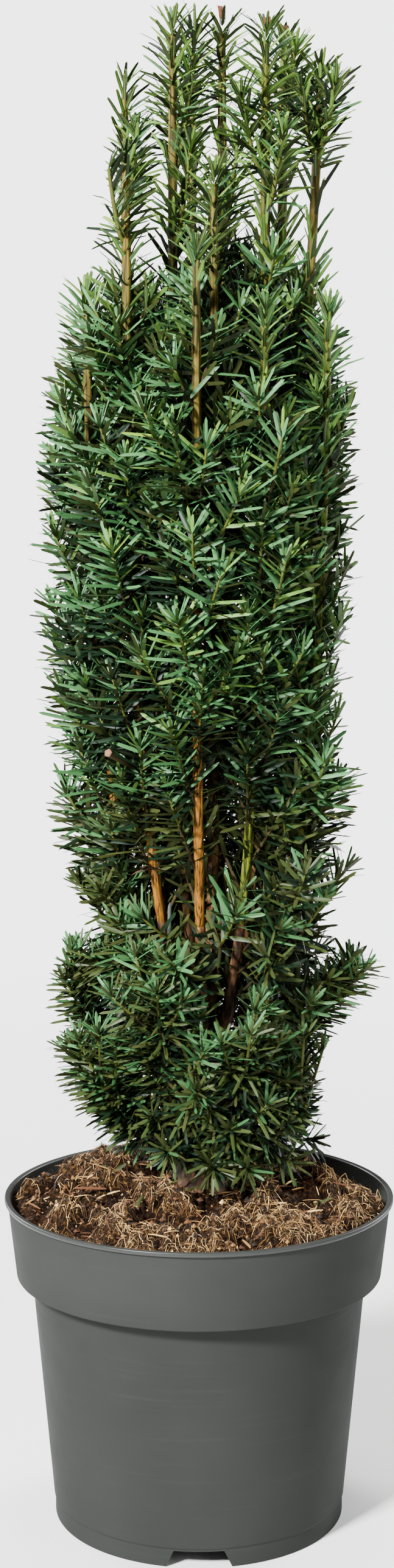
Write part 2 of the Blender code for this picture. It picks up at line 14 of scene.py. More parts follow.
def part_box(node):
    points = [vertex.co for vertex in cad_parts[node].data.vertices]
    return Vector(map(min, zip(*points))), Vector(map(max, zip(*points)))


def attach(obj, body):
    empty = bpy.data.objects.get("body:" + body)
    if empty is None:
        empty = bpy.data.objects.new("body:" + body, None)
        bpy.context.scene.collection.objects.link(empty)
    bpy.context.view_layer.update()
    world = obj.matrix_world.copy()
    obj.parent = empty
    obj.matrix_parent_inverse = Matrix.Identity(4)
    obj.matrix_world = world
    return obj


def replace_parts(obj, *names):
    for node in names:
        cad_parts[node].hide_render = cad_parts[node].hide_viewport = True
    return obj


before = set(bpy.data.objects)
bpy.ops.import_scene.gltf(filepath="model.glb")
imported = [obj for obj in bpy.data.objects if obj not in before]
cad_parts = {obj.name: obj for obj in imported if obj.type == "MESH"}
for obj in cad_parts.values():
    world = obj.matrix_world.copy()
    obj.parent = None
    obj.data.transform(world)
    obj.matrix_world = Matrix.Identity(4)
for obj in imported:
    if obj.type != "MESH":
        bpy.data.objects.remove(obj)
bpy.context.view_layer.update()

SEED = 417

# Camera
CAMERA_PLACE = (-0.0014, -1.6153, 0.7213)
CAMERA_PITCH = math.radians(6.671)      # how far it looks down
CAMERA_LENS = 52.75
SENSOR = 36.0

# Studio
BACKDROP_REACH = 16.0
BACKDROP_LIGHT = 4.0
SKY_LIGHT = 0.13
FLOOR_FADE = (0.5, 2.0)         # the floor is whole up to the first distance and gone at the second

# Pot
RIM_RADIUS = 0.1400
RIM_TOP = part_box("pot")[1].z
LIP_HEIGHT = 0.0034
LIP_OVERHANG = 0.0022
COLLAR_BOTTOM = 0.1784
COLLAR_FOOT_RADIUS = 0.1316
COLLAR_STEP = 0.0109
FOOT_RADIUS = 0.1048
WALL = 0.0022
FOOT_WALL = 0.0034
FOOT_STEP = 0.0009
FLOOR_HEIGHT = 0.0140
NOTCHES = 3
NOTCH_HEIGHT = 0.0120
NOTCH_TOP = 0.0350
NOTCH_BOTTOM = 0.0470
POT_SEGMENTS = 192
CORNER = 0.0012                 # rounding of the pot's moulded edges
POT_CREASE = math.radians(38)   # edges sharper than this stay hard

# Soil
SOIL_TOP = 0.2420
SOIL_TOP_RADIUS = 0.0715
SOIL_EDGE = 0.2270
SOIL_SHOULDER = 0.2365
SOIL_SHOULDER_RADIUS = 0.1130
SOIL_RADIUS = RIM_RADIUS - LIP_OVERHANG - WALL - 0.0003
SOIL_RINGS = 105
SOIL_SECTORS = 210
# Painted shade: pits below this level take the darkest soil material, partly real peat and partly
# darkened as if shaded.
PIT = -0.02                     # below this on the scale of lumps lies dark peat
LUMP = 0.0125                   # height of the surface's lumps
CRUMB = 0.0026                  # and of its crumbs
FIBRES = 10000
STRAWS = 260
STRAW_THICKNESS = 0.00036
CRUMBS = 1700
FALLEN_NEEDLES = 26

# Where the surface rises or sinks: x, y, spread, rise.
MOUNDS = (
    (-0.062, 0.030, 0.034, 0.009),
    (0.076, -0.018, 0.020, 0.016),
    (0.040, -0.040, 0.022, 0.006),
    (0.098, 0.045, 0.036, -0.013),
    (-0.020, -0.075, 0.020, -0.006),
    (0.025, -0.098, 0.022, -0.004),
    (-0.030, -0.040, 0.016, 0.004),
)

# Trunk and boughs
TRUNK_FOOT = 0.2423
TRUNK_TOP = 0.3660
TRUNK_LEAN = 0.0700
FLARE_RADIUS = 0.0235
TRUNK_RADIUS = 0.0145
TRUNK_TOP_RADIUS = 0.0080
LOWEST_FORK = 0.2740
HIGHEST_FORK = 0.3440
LEADER_RADII = (0.0044, 0.0035, 0.0031, 0.0020)    # at fork, crown base, foot of the tuft, tip
INNER_CROWN_BASE = 0.6800
OUTER_CROWN_BASE = 0.3800
DENSE_TOP = 0.8400              # side shoots stop here
CROWN_TOP = 1.0680
TERMINAL = 0.0720               # the tuft at a leader's tip

# Upright leaders: where each tip stands, and how fast its bough spreads out from the trunk.
SWIFT, QUICK, SLOW = 0.090, 0.150, 0.420
LEADERS = {
    "centre": (0.016, 0.010, 1.067, SWIFT),
    "centre_left": (-0.018, -0.008, 1.063, SWIFT),
    "centre_right": (0.045, -0.020, 1.056, SWIFT),
    "inner_left": (-0.052, 0.034, 1.032, QUICK),
    "inner_right": (0.059, 0.034, 1.060, QUICK),
    "inner_front": (0.010, -0.034, 0.960, SWIFT),
    "inner_back": (-0.005, 0.045, 1.048, SWIFT),
    "right": (0.084, 0.004, 1.034, SLOW),
    "left": (-0.078, -0.006, 0.883, QUICK),
    "front_left": (-0.049, -0.048, 0.971, QUICK),
    "front": (-0.002, -0.078, 0.905, QUICK),
    "front_right": (0.044, -0.066, 0.868, QUICK),
    "side_right": (0.087, -0.040, 0.870, QUICK),
    "back_right": (0.070, 0.064, 0.900, QUICK),
    "back": (0.018, 0.080, 0.915, QUICK),
    "back_left": (-0.034, 0.074, 0.895, QUICK),
    "side_left": (-0.080, 0.040, 0.868, QUICK),
}
TIPS = {name: Vector(row[:3]) for name, row in LEADERS.items()}
GREEN_LIMBS = ("front_right", "side_right", "centre_right")
INNER = [name for name in LEADERS if name.startswith(("centre", "inner"))]

# Low side masses: the way each one faces, how far it reaches, and the height of its tip.
LOW_MASSES = {
    "low_front_left": (247, 0.082, 0.392),
    "low_front_right": (298, 0.074, 0.350),
    "low_right": (352, 0.118, 0.402),
    "low_right_foot": (330, 0.088, 0.312),
    "low_back_right": (38, 0.085, 0.390),
    "low_back": (85, 0.085, 0.400),
    "low_back_left": (132, 0.085, 0.390),
    "low_left": (180, 0.092, 0.400),
    "low_left_foot": (213, 0.085, 0.325),
}
USUAL_SWEEP = 0.80              # how late a low stem turns outward
LOW_SWEEPS = {"low_right": 1.50}
LOW_CROWN_TOP = 0.4550
LOW_ROOT = 0.0100
LOW_ROOT_SHARE = 0.12
LOW_SHOOTS = 13
LOW_STEPS = 14
LOW_CLEAR = 0.008               # between the lowest needles and the soil

# Short shoots over the trunk's foot: the mass that bears them, and where they end.
FOOT_SHOOT_ROOT = TRUNK_FOOT + 0.034
FOOT_SHOOTS = {
    "low_front_left": ((-0.022, -0.060, 0.282), (-0.032, -0.050, 0.304)),
    "low_front_right": ((0.010, -0.064, 0.272), (0.034, -0.062, 0.270), (0.048, -0.050, 0.292)),
    "low_right_foot": ((0.064, -0.042, 0.270), (0.080, -0.020, 0.280)),
    "low_back_left": ((-0.042, 0.030, 0.300),),
    "low_left_foot": ((-0.050, -0.026, 0.286), (-0.044, -0.040, 0.312)),
}

# The crown's outline: height, reach to the left, reach to the right.
OUTLINE = (
    (0.230, 0.065, 0.085),
    (0.290, 0.082, 0.104),
    (0.325, 0.102, 0.084),
    (0.355, 0.104, 0.088),
    (0.400, 0.098, 0.130),
    (0.437, 0.082, 0.098),
    (0.480, 0.107, 0.118),
    (0.530, 0.106, 0.120),
    (0.580, 0.113, 0.103),
    (0.655, 0.119, 0.108),
    (0.720, 0.115, 0.113),
    (0.840, 0.108, 0.108),
    (0.880, 0.094, 0.092),
    (0.950, 0.070, 0.094),
    (1.010, 0.062, 0.108),
    (1.070, 0.050, 0.090),
)
OUTLINE_HEIGHTS, OUTLINE_LEFT, OUTLINE_RIGHT = zip(*OUTLINE)

# Shoots and needles
TURN = math.radians(137.5)
SHOOT_RISE = math.radians(58)
SHOOT_BEND = 0.16
SHOOT_LENGTH = 0.060
SHOOT_STEP = 0.0110             # height between one side shoot of a leader and the next
SHOOT_SEGMENTS = 5
SHOOT_ROOT_RADIUS = 0.0015
SHOOT_TIP_RADIUS = 0.0008
ATTEMPTS = 10
EDGE_FRINGE = 0.004             # how far needle tips stand out of the outline
EDGE_DEPTH = 0.020              # of the hollows between the tufts at the crown's edge
CELL_SLACK = 0.020              # how far neighbouring masses may lace into each other
DEEP_INSIDE = 0.050             # shoots this far within the outline carry fewer needles
NEEDLE = 0.0290
NEEDLE_WIDTH = 0.0031
NEEDLE_STEP = 0.00094           # along a shoot, between one needle and the next
ROSETTE = 9                     # needles round the very tip of a shoot

# Along a needle: share of its length, share of its full width. The tufts have the finer needles.
FINE_STATIONS = ((0.0, 0.40), (0.16, 0.95), (0.60, 1.00), (0.93, 0.74))
STATIONS = ((0.0, 0.50), (0.20, 1.00), (0.89, 0.78))
RIDGE = 0.24                    # height of the midrib above the edges, as a share of the half width
RIB = 0.17                      # half width of the midrib, as a share of the half width
NEEDLE_CREASE = math.radians(34)

# Stretches of bough that stay bare on the side towards the front.
BARE = {
    "front": ((0.436, 0.536), (0.775, 0.862)),
    "front_left": ((0.430, 0.480), (0.835, 0.900)),
    "front_right": ((0.375, 0.480),),
    "left": ((0.770, 0.820),),
    "inner_front": ((0.850, 0.890),),
}

STEM_CLEAR = 0.0045             # how far needles keep aside in front of such a stretch

# Bud scales at the tips that have dried.
DRY_TIPS = {"centre": 7, "centre_left": 3, "centre_right": 4, "inner_right": 16}

# Branches that were cut, by leader: the height of the root, and the end.
CUT_STUBS = {"front_left": (0.545, (-0.062, -0.070, 0.562))}
CUT_STUB_SHAPE = ((0.0, 0.0022), (0.5, 0.0023), (0.94, 0.0027), (0.97, 0.0032), (1.0, 0.0026))

# Bunches of dead twiglets, by leader: their height, and how far they reach.
DEAD_TWIGLETS = {
    "centre": (0.972, 0.011),
    "front_left": (0.480, 0.014),
    "front": (0.418, 0.014),
}
TWIGLETS = 9

# Second shoots beside the tall leaders' tips, by leader: the height of the root, and the tip.
SECOND_SHOOTS = {
    "centre": ((0.915, (0.026, -0.008, 0.972)),),
    "centre_left": ((0.950, (-0.002, -0.004, 1.056)), (0.905, (-0.006, -0.020, 0.968))),
    "centre_right": ((0.948, (0.029, -0.026, 1.000)), (0.925, (0.056, -0.034, 0.975))),
    "right": ((0.965, (0.070, -0.006, 1.008)), (0.968, (0.092, -0.008, 1.012))),
    "inner_right": ((0.985, (0.066, 0.022, 1.040)),),
    "inner_left": ((0.930, (-0.044, 0.020, 0.984)),),
    "inner_back": ((0.960, (-0.020, 0.052, 1.010)),),
    "front_left": ((0.900, (-0.060, -0.052, 0.950)),),
}
SECOND_SHOOT_STEPS = 8

# Heights at which the needles' colours change.
FOOT_TO = 0.31
DENSE_FROM = 0.52
OPEN_FROM = 0.90
TALL = 1.0                      # leaders that reach higher have a thinner stretch under the tuft


def link(made):
    bpy.context.scene.collection.objects.link(made)
    return made


def new_object(name, vertices, faces, finishes=()):
    mesh = bpy.data.meshes.new(name)
    mesh.from_pydata(vertices, [], faces)
    for finish in finishes:
        mesh.materials.append(finish)
    return link(bpy.data.objects.new(name, mesh))


def new_piece(name, vertices, faces, finishes, tints=()):
    """A mesh object that rides on the plant's one body, one tint for each face if they differ."""
    made = new_object(name, vertices, faces, finishes)
    if len(tints):
        made.data.polygons.foreach_set("material_index", tints)
    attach(made, "root")
    return made


# Materials

def plain(name, colour, roughness, shine=0.5):
    """One even colour, for what is dealt out needle by needle or strand by strand."""
    made = bpy.data.materials.new(name)
    made.use_nodes = True
    shader = made.node_tree.nodes["Principled BSDF"]
    shader.inputs["Base Color"].default_value = (*colour, 1.0)
    shader.inputs["Roughness"].default_value = roughness
    shader.inputs["Specular IOR Level"].default_value = shine
    return made


class Nodes:
    """A short way to write a material's nodes."""

    def __init__(self, name, roughness, shine=0.5, colour=(0.8, 0.8, 0.8)):
        self.material = plain(name, colour, roughness, shine)
        self.tree = self.material.node_tree
        self.place = self.add("TexCoord", "Object", {})

    def add(self, kind, output, sockets, **settings):
        """A new node, its sockets set or linked. One of its outputs comes back."""
        made = self.tree.nodes.new("ShaderNode" + kind)
        for name, value in settings.items():
            setattr(made, name, value)
        for name, value in sockets.items():
            if isinstance(value, bpy.types.NodeSocket):
                self.tree.links.new(value, made.inputs[name])
            else:
                made.inputs[name].default_value = value
        return made.outputs[output]

    def drive(self, name, output):
        """Link an output to one of the shader's own sockets."""
        self.tree.links.new(output, self.tree.nodes["Principled BSDF"].inputs[name])

    def noise(self, scale, detail=4.0, stretch=(1, 1, 1)):
        place = self.add("Mapping", "Vector", {"Vector": self.place, "Scale": stretch})
        return self.add("TexNoise", "Fac", {"Vector": place, "Scale": scale, "Detail": detail})

    def ramp(self, value, *stops):
        """Colours between stops of (position, colour)."""
        made = self.add("ValToRGB", "Color", {"Fac": value})
        band = made.node.color_ramp
        while len(band.elements) < len(stops):
            band.elements.new(0.5)
        for element, (position, colour) in zip(band.elements, stops):
            element.position = position
            element.color = (*colour, 1.0)
        return made

    def mix(self, amount, first, second):
        return self.add("Mix", 2, {"Factor": amount, 6: first, 7: second}, data_type="RGBA")

    def between(self, value, low, high, start, end):
        """A value mapped from one range to another, held at its ends."""
        ends = {"From Min": low, "From Max": high, "To Min": start, "To Max": end}
        return self.add("MapRange", "Result", {"Value": value, **ends})

    def height(self):
        return self.add("SeparateXYZ", "Z", {"Vector": self.place})

    def distance(self):
        """How far a point lies from the object's origin."""
        return self.add("VectorMath", "Value", {0: self.place}, operation="LENGTH")

    def bump(self, value, strength, distance):
        sockets = {"Height": value, "Strength": strength, "Distance": distance}
        self.drive("Normal", self.add("Bump", "Normal", sockets))


def pot_plastic(name, shine, smooth, rough):
    """Grey moulded plastic with faint scuffs that run round the pot, and a collar painted lighter as
    painted light.
    """
    made = Nodes(name, rough, shine)
    blotches = made.noise(9.0, 3.0)
    body = made.ramp(blotches, (0.3, (0.0212, 0.0230, 0.0214)), (0.7, (0.0262, 0.0284, 0.0264)))
    scuffs_and_collar_light = made.ramp(blotches, (0.3, (0.0280, 0.0305, 0.0285)), (0.7, (0.0360, 0.0385, 0.0362)))
    scuffs = made.between(made.noise(11.0, 6.0, (1, 1, 26)), 0.58, 0.80, 0.0, 0.60)
    # Painted light: towards the collar the colour is mixed to the lighter tone, as if the collar were
    # lit more than the body.
    collar = made.between(made.height(), COLLAR_BOTTOM - 0.010, COLLAR_BOTTOM + 0.020, 0.0, 0.36)
    made.drive("Base Color", made.mix(scuffs, made.mix(collar, body, scuffs_and_collar_light), scuffs_and_collar_light))
    made.drive("Roughness", made.between(made.noise(40.0, 3.0), 0.3, 0.7, smooth, rough))
    made.bump(made.noise(700.0, 2.0), 0.12, 0.0002)
    return made.material


def soil_crumb(name, dark, middle, light):
    """Loose soil in grains of three tones."""
    made = Nodes(name, 0.92, 0.08)
    grains = made.ramp(made.noise(430.0, 6.0), (0.38, dark), (0.52, middle), (0.66, light))
    shade = made.ramp(made.noise(60.0, 4.0), (0.40, dark), (0.60, middle))
    patches = made.between(made.noise(150.0, 4.0), 0.42, 0.58, 0.0, 0.6)
    made.drive("Base Color", made.mix(patches, grains, shade))
    made.bump(made.noise(520.0, 6.0), 1.0, 0.0022)
    return made.material


def old_bark():
    """Red-brown bark with lengthwise flakes, on the trunk and the feet of the boughs."""
    made = Nodes("yew bark", 0.80)
    flakes = made.noise(190.0, 6.0, (1, 1, 0.24))
    dark = made.ramp(
        flakes,
        (0.38, (0.008, 0.004, 0.002)),
        (0.50, (0.060, 0.026, 0.011)),
        (0.64, (0.180, 0.090, 0.038)),
    )
    warm = made.ramp(
        flakes,
        (0.36, (0.030, 0.012, 0.005)),
        (0.50, (0.230, 0.095, 0.025)),
        (0.66, (0.420, 0.220, 0.080)),
    )
    rise = made.between(made.height(), 0.36, 0.45, 0.0, 1.0)
    made.drive("Base Color", made.mix(rise, dark, warm))
    made.bump(made.noise(260.0, 6.0, (1, 1, 0.22)), 1.0, 0.0012)
    return made.material


def young_bark(name, low, high):
    """Young bark with lengthwise grooves. It turns from one colour to another with height."""
    made = Nodes(name, 0.60, 0.12)
    streaks = made.noise(620.0, 5.0, (1, 1, 0.04))

    def grooved(colour, groove, ridge):
        # Along the streaks the grooves are painted darker and the ridges lighter: partly the bark's own
        # streaks, partly painted shade and highlight in the relief.
        tones = [tuple(share * c for c in colour) for share in (groove, 1, ridge)]
        return made.ramp(streaks, *zip((0.40, 0.52, 0.66), tones))

    foot = grooved(low, 0.16, 1.35)
    top = grooved(high, 0.20, 1.30)
    patches = made.between(made.noise(30.0, 3.0, (1, 1, 0.5)), 0.45, 0.65, 0.0, 0.25)
    rise = made.between(made.height(), 0.58, 0.78, 0.0, 1.0)
    made.drive("Base Color", made.mix(rise, foot, made.mix(patches, top, foot)))
    made.bump(streaks, 1.0, 0.0009)
    return made.material


# Growth rules

def shares(count):
    """Even steps from 0 to 1."""
    return [k / count for k in range(count + 1)]


def reach_at(height, angle):
    """The crown's reach towards an angle, between its outlines on the left and the right."""
    left = float(np.interp(height, OUTLINE_HEIGHTS, OUTLINE_LEFT))
    right = float(np.interp(height, OUTLINE_HEIGHTS, OUTLINE_RIGHT))
    share = 0.5 + 0.5 * math.cos(angle)
    return left + (right - left) * share


def depth_at(point):
    """How far inside the outline a point lies."""
    return reach_at(point.z, math.atan2(point.y, point.x)) - point.xy.length


def trunk_axis(height):
    return Vector((TRUNK_LEAN * (height - TRUNK_FOOT), 0.0, height))


def trunk_radius(height):
    rise = height - TRUNK_FOOT
    flare = (FLARE_RADIUS - TRUNK_RADIUS) * math.exp(-rise / 0.010)
    taper = (TRUNK_RADIUS - TRUNK_TOP_RADIUS) * rise / (TRUNK_TOP - TRUNK_FOOT)
    return TRUNK_RADIUS + flare - taper


def fork_heights():
    """The leaders that stand farthest out fork off lowest."""
    order = sorted(TIPS, key=lambda name: -TIPS[name].xy.length)
    rise = HIGHEST_FORK - LOWEST_FORK
    return {name: LOWEST_FORK + rise * share for name, share in zip(order, shares(len(order) - 1))}


FORKS = fork_heights()


def leader_point(name, height):
    """A bough spreads from its fork and then turns upright towards its tip."""
    tip = TIPS[name]
    spread = LEADERS[name][3]
    fork = FORKS[name]
    whole = 1 - math.exp(-(tip.z - fork) / spread)
    share = (1 - math.exp(-(height - fork) / spread)) / whole
    flat = trunk_axis(fork).xy.lerp(tip.xy, share)
    return Vector((flat.x, flat.y, height))


def crown_base(name):
    return INNER_CROWN_BASE if name in INNER else OUTER_CROWN_BASE


def leader_radius(name, height):
    tip = TIPS[name].z
    heights = (FORKS[name], crown_base(name), tip - TERMINAL, tip)
    return float(np.interp(height, heights, LEADER_RADII))


def in_reach(point, slack=0.0):
    """True inside the outline, which draws in a little between the tufts at the crown's edge."""
    reach = reach_at(point.z, math.atan2(point.y, point.x))
    hollow = max(0.0, noise.noise(point * 34.0)) * EDGE_DEPTH
    return point.xy.length < reach + EDGE_FRINGE - hollow + slack


def in_leader_cell(name, point):
    """True where a point is nearly as near to this leader as to any other at its height."""
    if not in_reach(point) or point.z > CROWN_TOP:
        return False
    own = (leader_point(name, min(point.z, TIPS[name].z)).xy - point.xy).length
    for other, tip in TIPS.items():
        if other == name or point.z > tip.z + NEEDLE:
            continue
        if other in INNER and point.z < INNER_CROWN_BASE - NEEDLE:
            continue
        if (leader_point(other, point.z).xy - point.xy).length < own - CELL_SLACK:
            return False
    return True


def hides_stem(point):
    """True in front of a stretch of bough that stays bare."""
    for name, stretches in BARE.items():
        for low, high in stretches:
            if low < point.z < high:
                stem = leader_point(name, point.z)
                if point.y < stem.y and abs(point.x - stem.x) < STEM_CLEAR:
                    return True
    return False


def low_line(name):
    """A low mass's stem: outward from the trunk, then turning up."""
    facing, reach, top = LOW_MASSES[name]
    out = flat_aim(math.radians(facing))
    foot = TRUNK_FOOT + LOW_ROOT + LOW_ROOT_SHARE * (top - TRUNK_FOOT)
    root = trunk_axis(foot) + out * trunk_radius(foot) * 0.6
    tip = Vector((out.x * reach, out.y * reach, top))
    sweep = LOW_SWEEPS.get(name, USUAL_SWEEP)
    return [part_way(root, tip, share ** sweep, share ** 1.35) for share in shares(LOW_STEPS)]


# Shapes

def part_way(root, tip, level, rise):
    """A point between two others, by its share of the way on the level and of the way up."""
    flat = root.xy.lerp(tip.xy, level)
    return Vector((flat.x, flat.y, root.z + (tip.z - root.z) * rise))


def flat_aim(angle):
    return Vector((math.cos(angle), math.sin(angle), 0))


def risen_aim(angle, rise):
    """A direction that faces an angle and rises above the level."""
    return flat_aim(angle) * math.cos(rise) + Vector((0, 0, math.sin(rise)))


def spoke(side, along, angle):
    """The direction at an angle round a line, counted from one side of it."""
    return side * math.cos(angle) + along.cross(side) * math.sin(angle)


def tilted(along, out, tilt):
    """Where a needle points that leans off its line by an angle, and where its upper face looks."""
    aim = along * math.cos(tilt) + out * math.sin(tilt)
    return aim, along * math.sin(tilt) - out * math.cos(tilt)


def ring(centre, side, along, radii):
    """Points round a line, as far from it as each radius says."""
    points = []
    for i, radius in enumerate(radii):
        points.append(centre + spoke(side, along, math.tau * i / len(radii)) * radius)
    return points


def circle(radius, height, count):
    """Points round the Z axis."""
    angles = [math.tau * k / count for k in range(count)]
    return [(radius * math.cos(angle), radius * math.sin(angle), height) for angle in angles]


def tube_faces(rows, sides, start=0):
    """The faces of a closed tube through rows of points: a disc, the sides row by row, a disc."""
    faces = [tuple(start + i for i in reversed(range(sides)))]
    for low in range(start, start + (rows - 1) * sides, sides):
        for i in range(sides):
            j = (i + 1) % sides
            faces.append((low + i, low + j, low + sides + j, low + sides + i))
    last = start + (rows - 1) * sides
    faces.append(tuple(range(last, last + sides)))
    return faces


def tube_piece(name, rows, finishes):
    vertices = [point for row in rows for point in row]
    made = new_piece(name, vertices, tube_faces(len(rows), len(rows[0])), finishes)
    made.data.shade_smooth()
    return made


# The sides of a block whose eight corners come in three nested loops.
BLOCK_FACES = [(0, 2, 3, 1), (4, 5, 7, 6), (0, 1, 5, 4), (2, 6, 7, 3), (0, 4, 6, 2), (1, 3, 7, 5)]


class Line:
    """A line through points, read by the distance along it."""

    def __init__(self, centres):
        self.centres = centres
        self.marks = [0.0]
        for low, high in zip(centres, centres[1:]):
            self.marks.append(self.marks[-1] + (high - low).length)
        self.length = self.marks[-1]

    def at(self, distance):
        """The point and the direction at a distance."""
        k = 1
        while k < len(self.marks) - 1 and self.marks[k] < distance:
            k += 1
        low, high = self.centres[k - 1], self.centres[k]
        run = self.marks[k] - self.marks[k - 1]
        return low.lerp(high, (distance - self.marks[k - 1]) / run), (high - low) / run


class Strands:
    """Tapering tubes gathered into one mesh: shoots, fibres and dead twigs."""

    def __init__(self, sides):
        self.sides = sides
        self.vertices = []
        self.faces = []
        self.tints = []

    def add(self, centres, radii, tints):
        """A tube through centres, one tint for each run between two of them."""
        count = len(centres)
        self.faces += tube_faces(count, self.sides, len(self.vertices))
        side = (centres[1] - centres[0]).orthogonal().normalized()
        for k, centre in enumerate(centres):
            along = (centres[min(k + 1, count - 1)] - centres[max(k - 1, 0)]).normalized()
            side = (side - along * side.dot(along)).normalized()
            self.vertices += ring(centre, side, along, [radii[k]] * self.sides)
        runs = [tint for tint in tints for _ in range(self.sides)]
        self.tints += [tints[0], *runs, tints[-1]]

    def piece(self, name, finishes, slot):
        made = new_piece(name, self.vertices, self.faces, finishes, self.tints)
        made.data.shade_smooth()
        return made


class Needles:
    """Flat needles with a raised midrib, gathered into one mesh.

    A ribbed needle has a strip of its own for the midrib, and a simple one has a keel.
    """

    def __init__(self, ribbed):
        self.ribbed = ribbed
        self.rows = []
        self.tints = []

    def add(self, root, aim, upper, length, width, bend, tint):
        self.rows.append((*root, *aim, *upper, length, width, bend))
        self.tints.append(tint)

    def section(self):
        """Points across a needle, as (share of half width, height), and what lies between them."""
        if self.ribbed:
            points = ((-1, 0), (-RIB, RIDGE), (RIB, RIDGE), (1, 0), (RIB, -0.10), (-RIB, -0.10))
            return points, (BLADE, MIDRIB, BLADE, UNDERSIDE, MIDRIB, UNDERSIDE)
        return ((-1, 0), (0, RIDGE), (1, 0)), (BLADE, BLADE, UNDERSIDE)

    def piece(self, name, palette):
        """One mesh of all the needles, each row of points worked out for all of them at once."""
        rows = np.array(self.rows)
        roots, aims, uppers = rows[:, 0:3], rows[:, 3:6], rows[:, 6:9]
        length, width, bend = rows[:, 9:].T[:, :, None]
        uppers = uppers - aims * (uppers * aims).sum(axis=1, keepdims=True)
        uppers /= np.linalg.norm(uppers, axis=1, keepdims=True)
        sides = np.cross(aims, uppers)
        section, between = self.section()
        stations = FINE_STATIONS if self.ribbed else STATIONS
        points = []
        for share, fullness in stations:
            centre = roots + aims * length * share - uppers * length * bend * share ** 2
            half = 0.5 * width * fullness
            for across, lift in section:
                points.append(centre + sides * half * across + uppers * half * lift)
        points.append(roots + aims * length - uppers * length * bend)
        vertices = np.stack(points, axis=1).reshape(-1, 3)
        corners, kinds = needle_faces(len(stations), between, self.ribbed)
        offsets = np.arange(len(rows))[:, None, None] * len(points)
        faces = (offsets + corners[None]).reshape(-1, 3)
        tints = palette.table[np.array(self.tints)][:, kinds].reshape(-1).astype(np.int32)
        made = new_piece(name, vertices, faces, palette.finishes, tints)
        made.data.shade_smooth()
        made.data.set_sharp_from_angle(angle=NEEDLE_CREASE)
        return made


BLADE, MIDRIB, UNDERSIDE, POINT = range(4)


def needle_faces(stations, between, pointed):
    """The triangles of one needle over its rows of points, and what each of them shows."""
    corners = []
    kinds = []
    sides = len(between)
    for row in range(stations - 1):
        low = sides * row
        high = low + sides
        for i in range(sides):
            j = (i + 1) % sides
            corners.append((low + i, high + i, high + j))
            corners.append((low + i, high + j, low + j))
            kinds += [between[i], between[i]]
    last = sides * (stations - 1)
    for i in range(sides):
        corners.append((last + i, last + sides, last + (i + 1) % sides))
        kinds.append(POINT if pointed else between[i])
    return np.array(corners), np.array(kinds)


class Palette:
    """The needles' plain colours: for each tint its blade, midrib, underside and point."""

    def __init__(self):
        colours = {
            "needle old": (0.038, 0.046, 0.012),
            # The near-black needle and underside colours of the shade row are painted shade, put where
            # the crown is shaded.
            "needle shade": (0.005, 0.015, 0.006),
            "needle deep": (0.032, 0.098, 0.031),
            "needle moss": (0.034, 0.052, 0.013),
            "needle blue": (0.055, 0.162, 0.054),
            "needle green": (0.090, 0.190, 0.032),
            "needle fresh": (0.140, 0.245, 0.028),
            "needle dried": (0.095, 0.036, 0.018),
            "rib dark": (0.030, 0.070, 0.020),
            "rib green": (0.085, 0.200, 0.050),
            # The pale midrib colour below is partly the midrib's own tone and partly a painted highlight
            # along it.
            "rib pale with painted highlight": (0.190, 0.340, 0.055),
            "underside dark": (0.010, 0.016, 0.005),
            "underside dull": (0.036, 0.046, 0.012),
            "underside green": (0.050, 0.102, 0.030),
            "underside fresh": (0.085, 0.165, 0.028),
            "point yellow": (0.170, 0.260, 0.030),
            "point brown": (0.130, 0.058, 0.026),
        }
        self.finishes = [plain(name, colour, 0.46, 0.18) for name, colour in colours.items()]
        order = list(colours)
        rows = (
            ("needle old", "rib dark", "underside dull", "point yellow"),
            # This row is painted shade, dealt to needles inside and under the crown.
            ("needle shade", "underside dark", "underside dark", "rib green"),
            ("needle deep", "rib green", "underside dull", "point yellow"),
            ("needle blue", "rib green", "underside green", "point yellow"),
            ("needle green", "rib pale with painted highlight", "underside fresh", "point yellow"),
            ("needle fresh", "rib pale with painted highlight", "underside fresh", "point yellow"),
            ("needle dried", "point brown", "needle dried", "point brown"),
            ("needle moss", "rib dark", "underside dull", "point yellow"),
        )
        self.table = np.array([[order.index(name) for name in row] for row in rows])


OLD, SHADE, DEEP, BLUE, GREEN, FRESH, DRIED, MOSS = range(8)


def rounded(profile, radius, steps=4):
    """A profile whose corners are rounded off."""
    points = [Vector(point) for point in profile]
    made = [points[0]]
    for before, corner, after in zip(points, points[1:], points[2:]):
        reach = min(radius, 0.45 * (corner - before).length, 0.45 * (after - corner).length)
        start = corner + (before - corner).normalized() * reach
        end = corner + (after - corner).normalized() * reach
        for share in shares(steps):
            made.append(start.lerp(corner, share).lerp(corner.lerp(end, share), share))
    made.append(points[-1])
    return made


# Pot

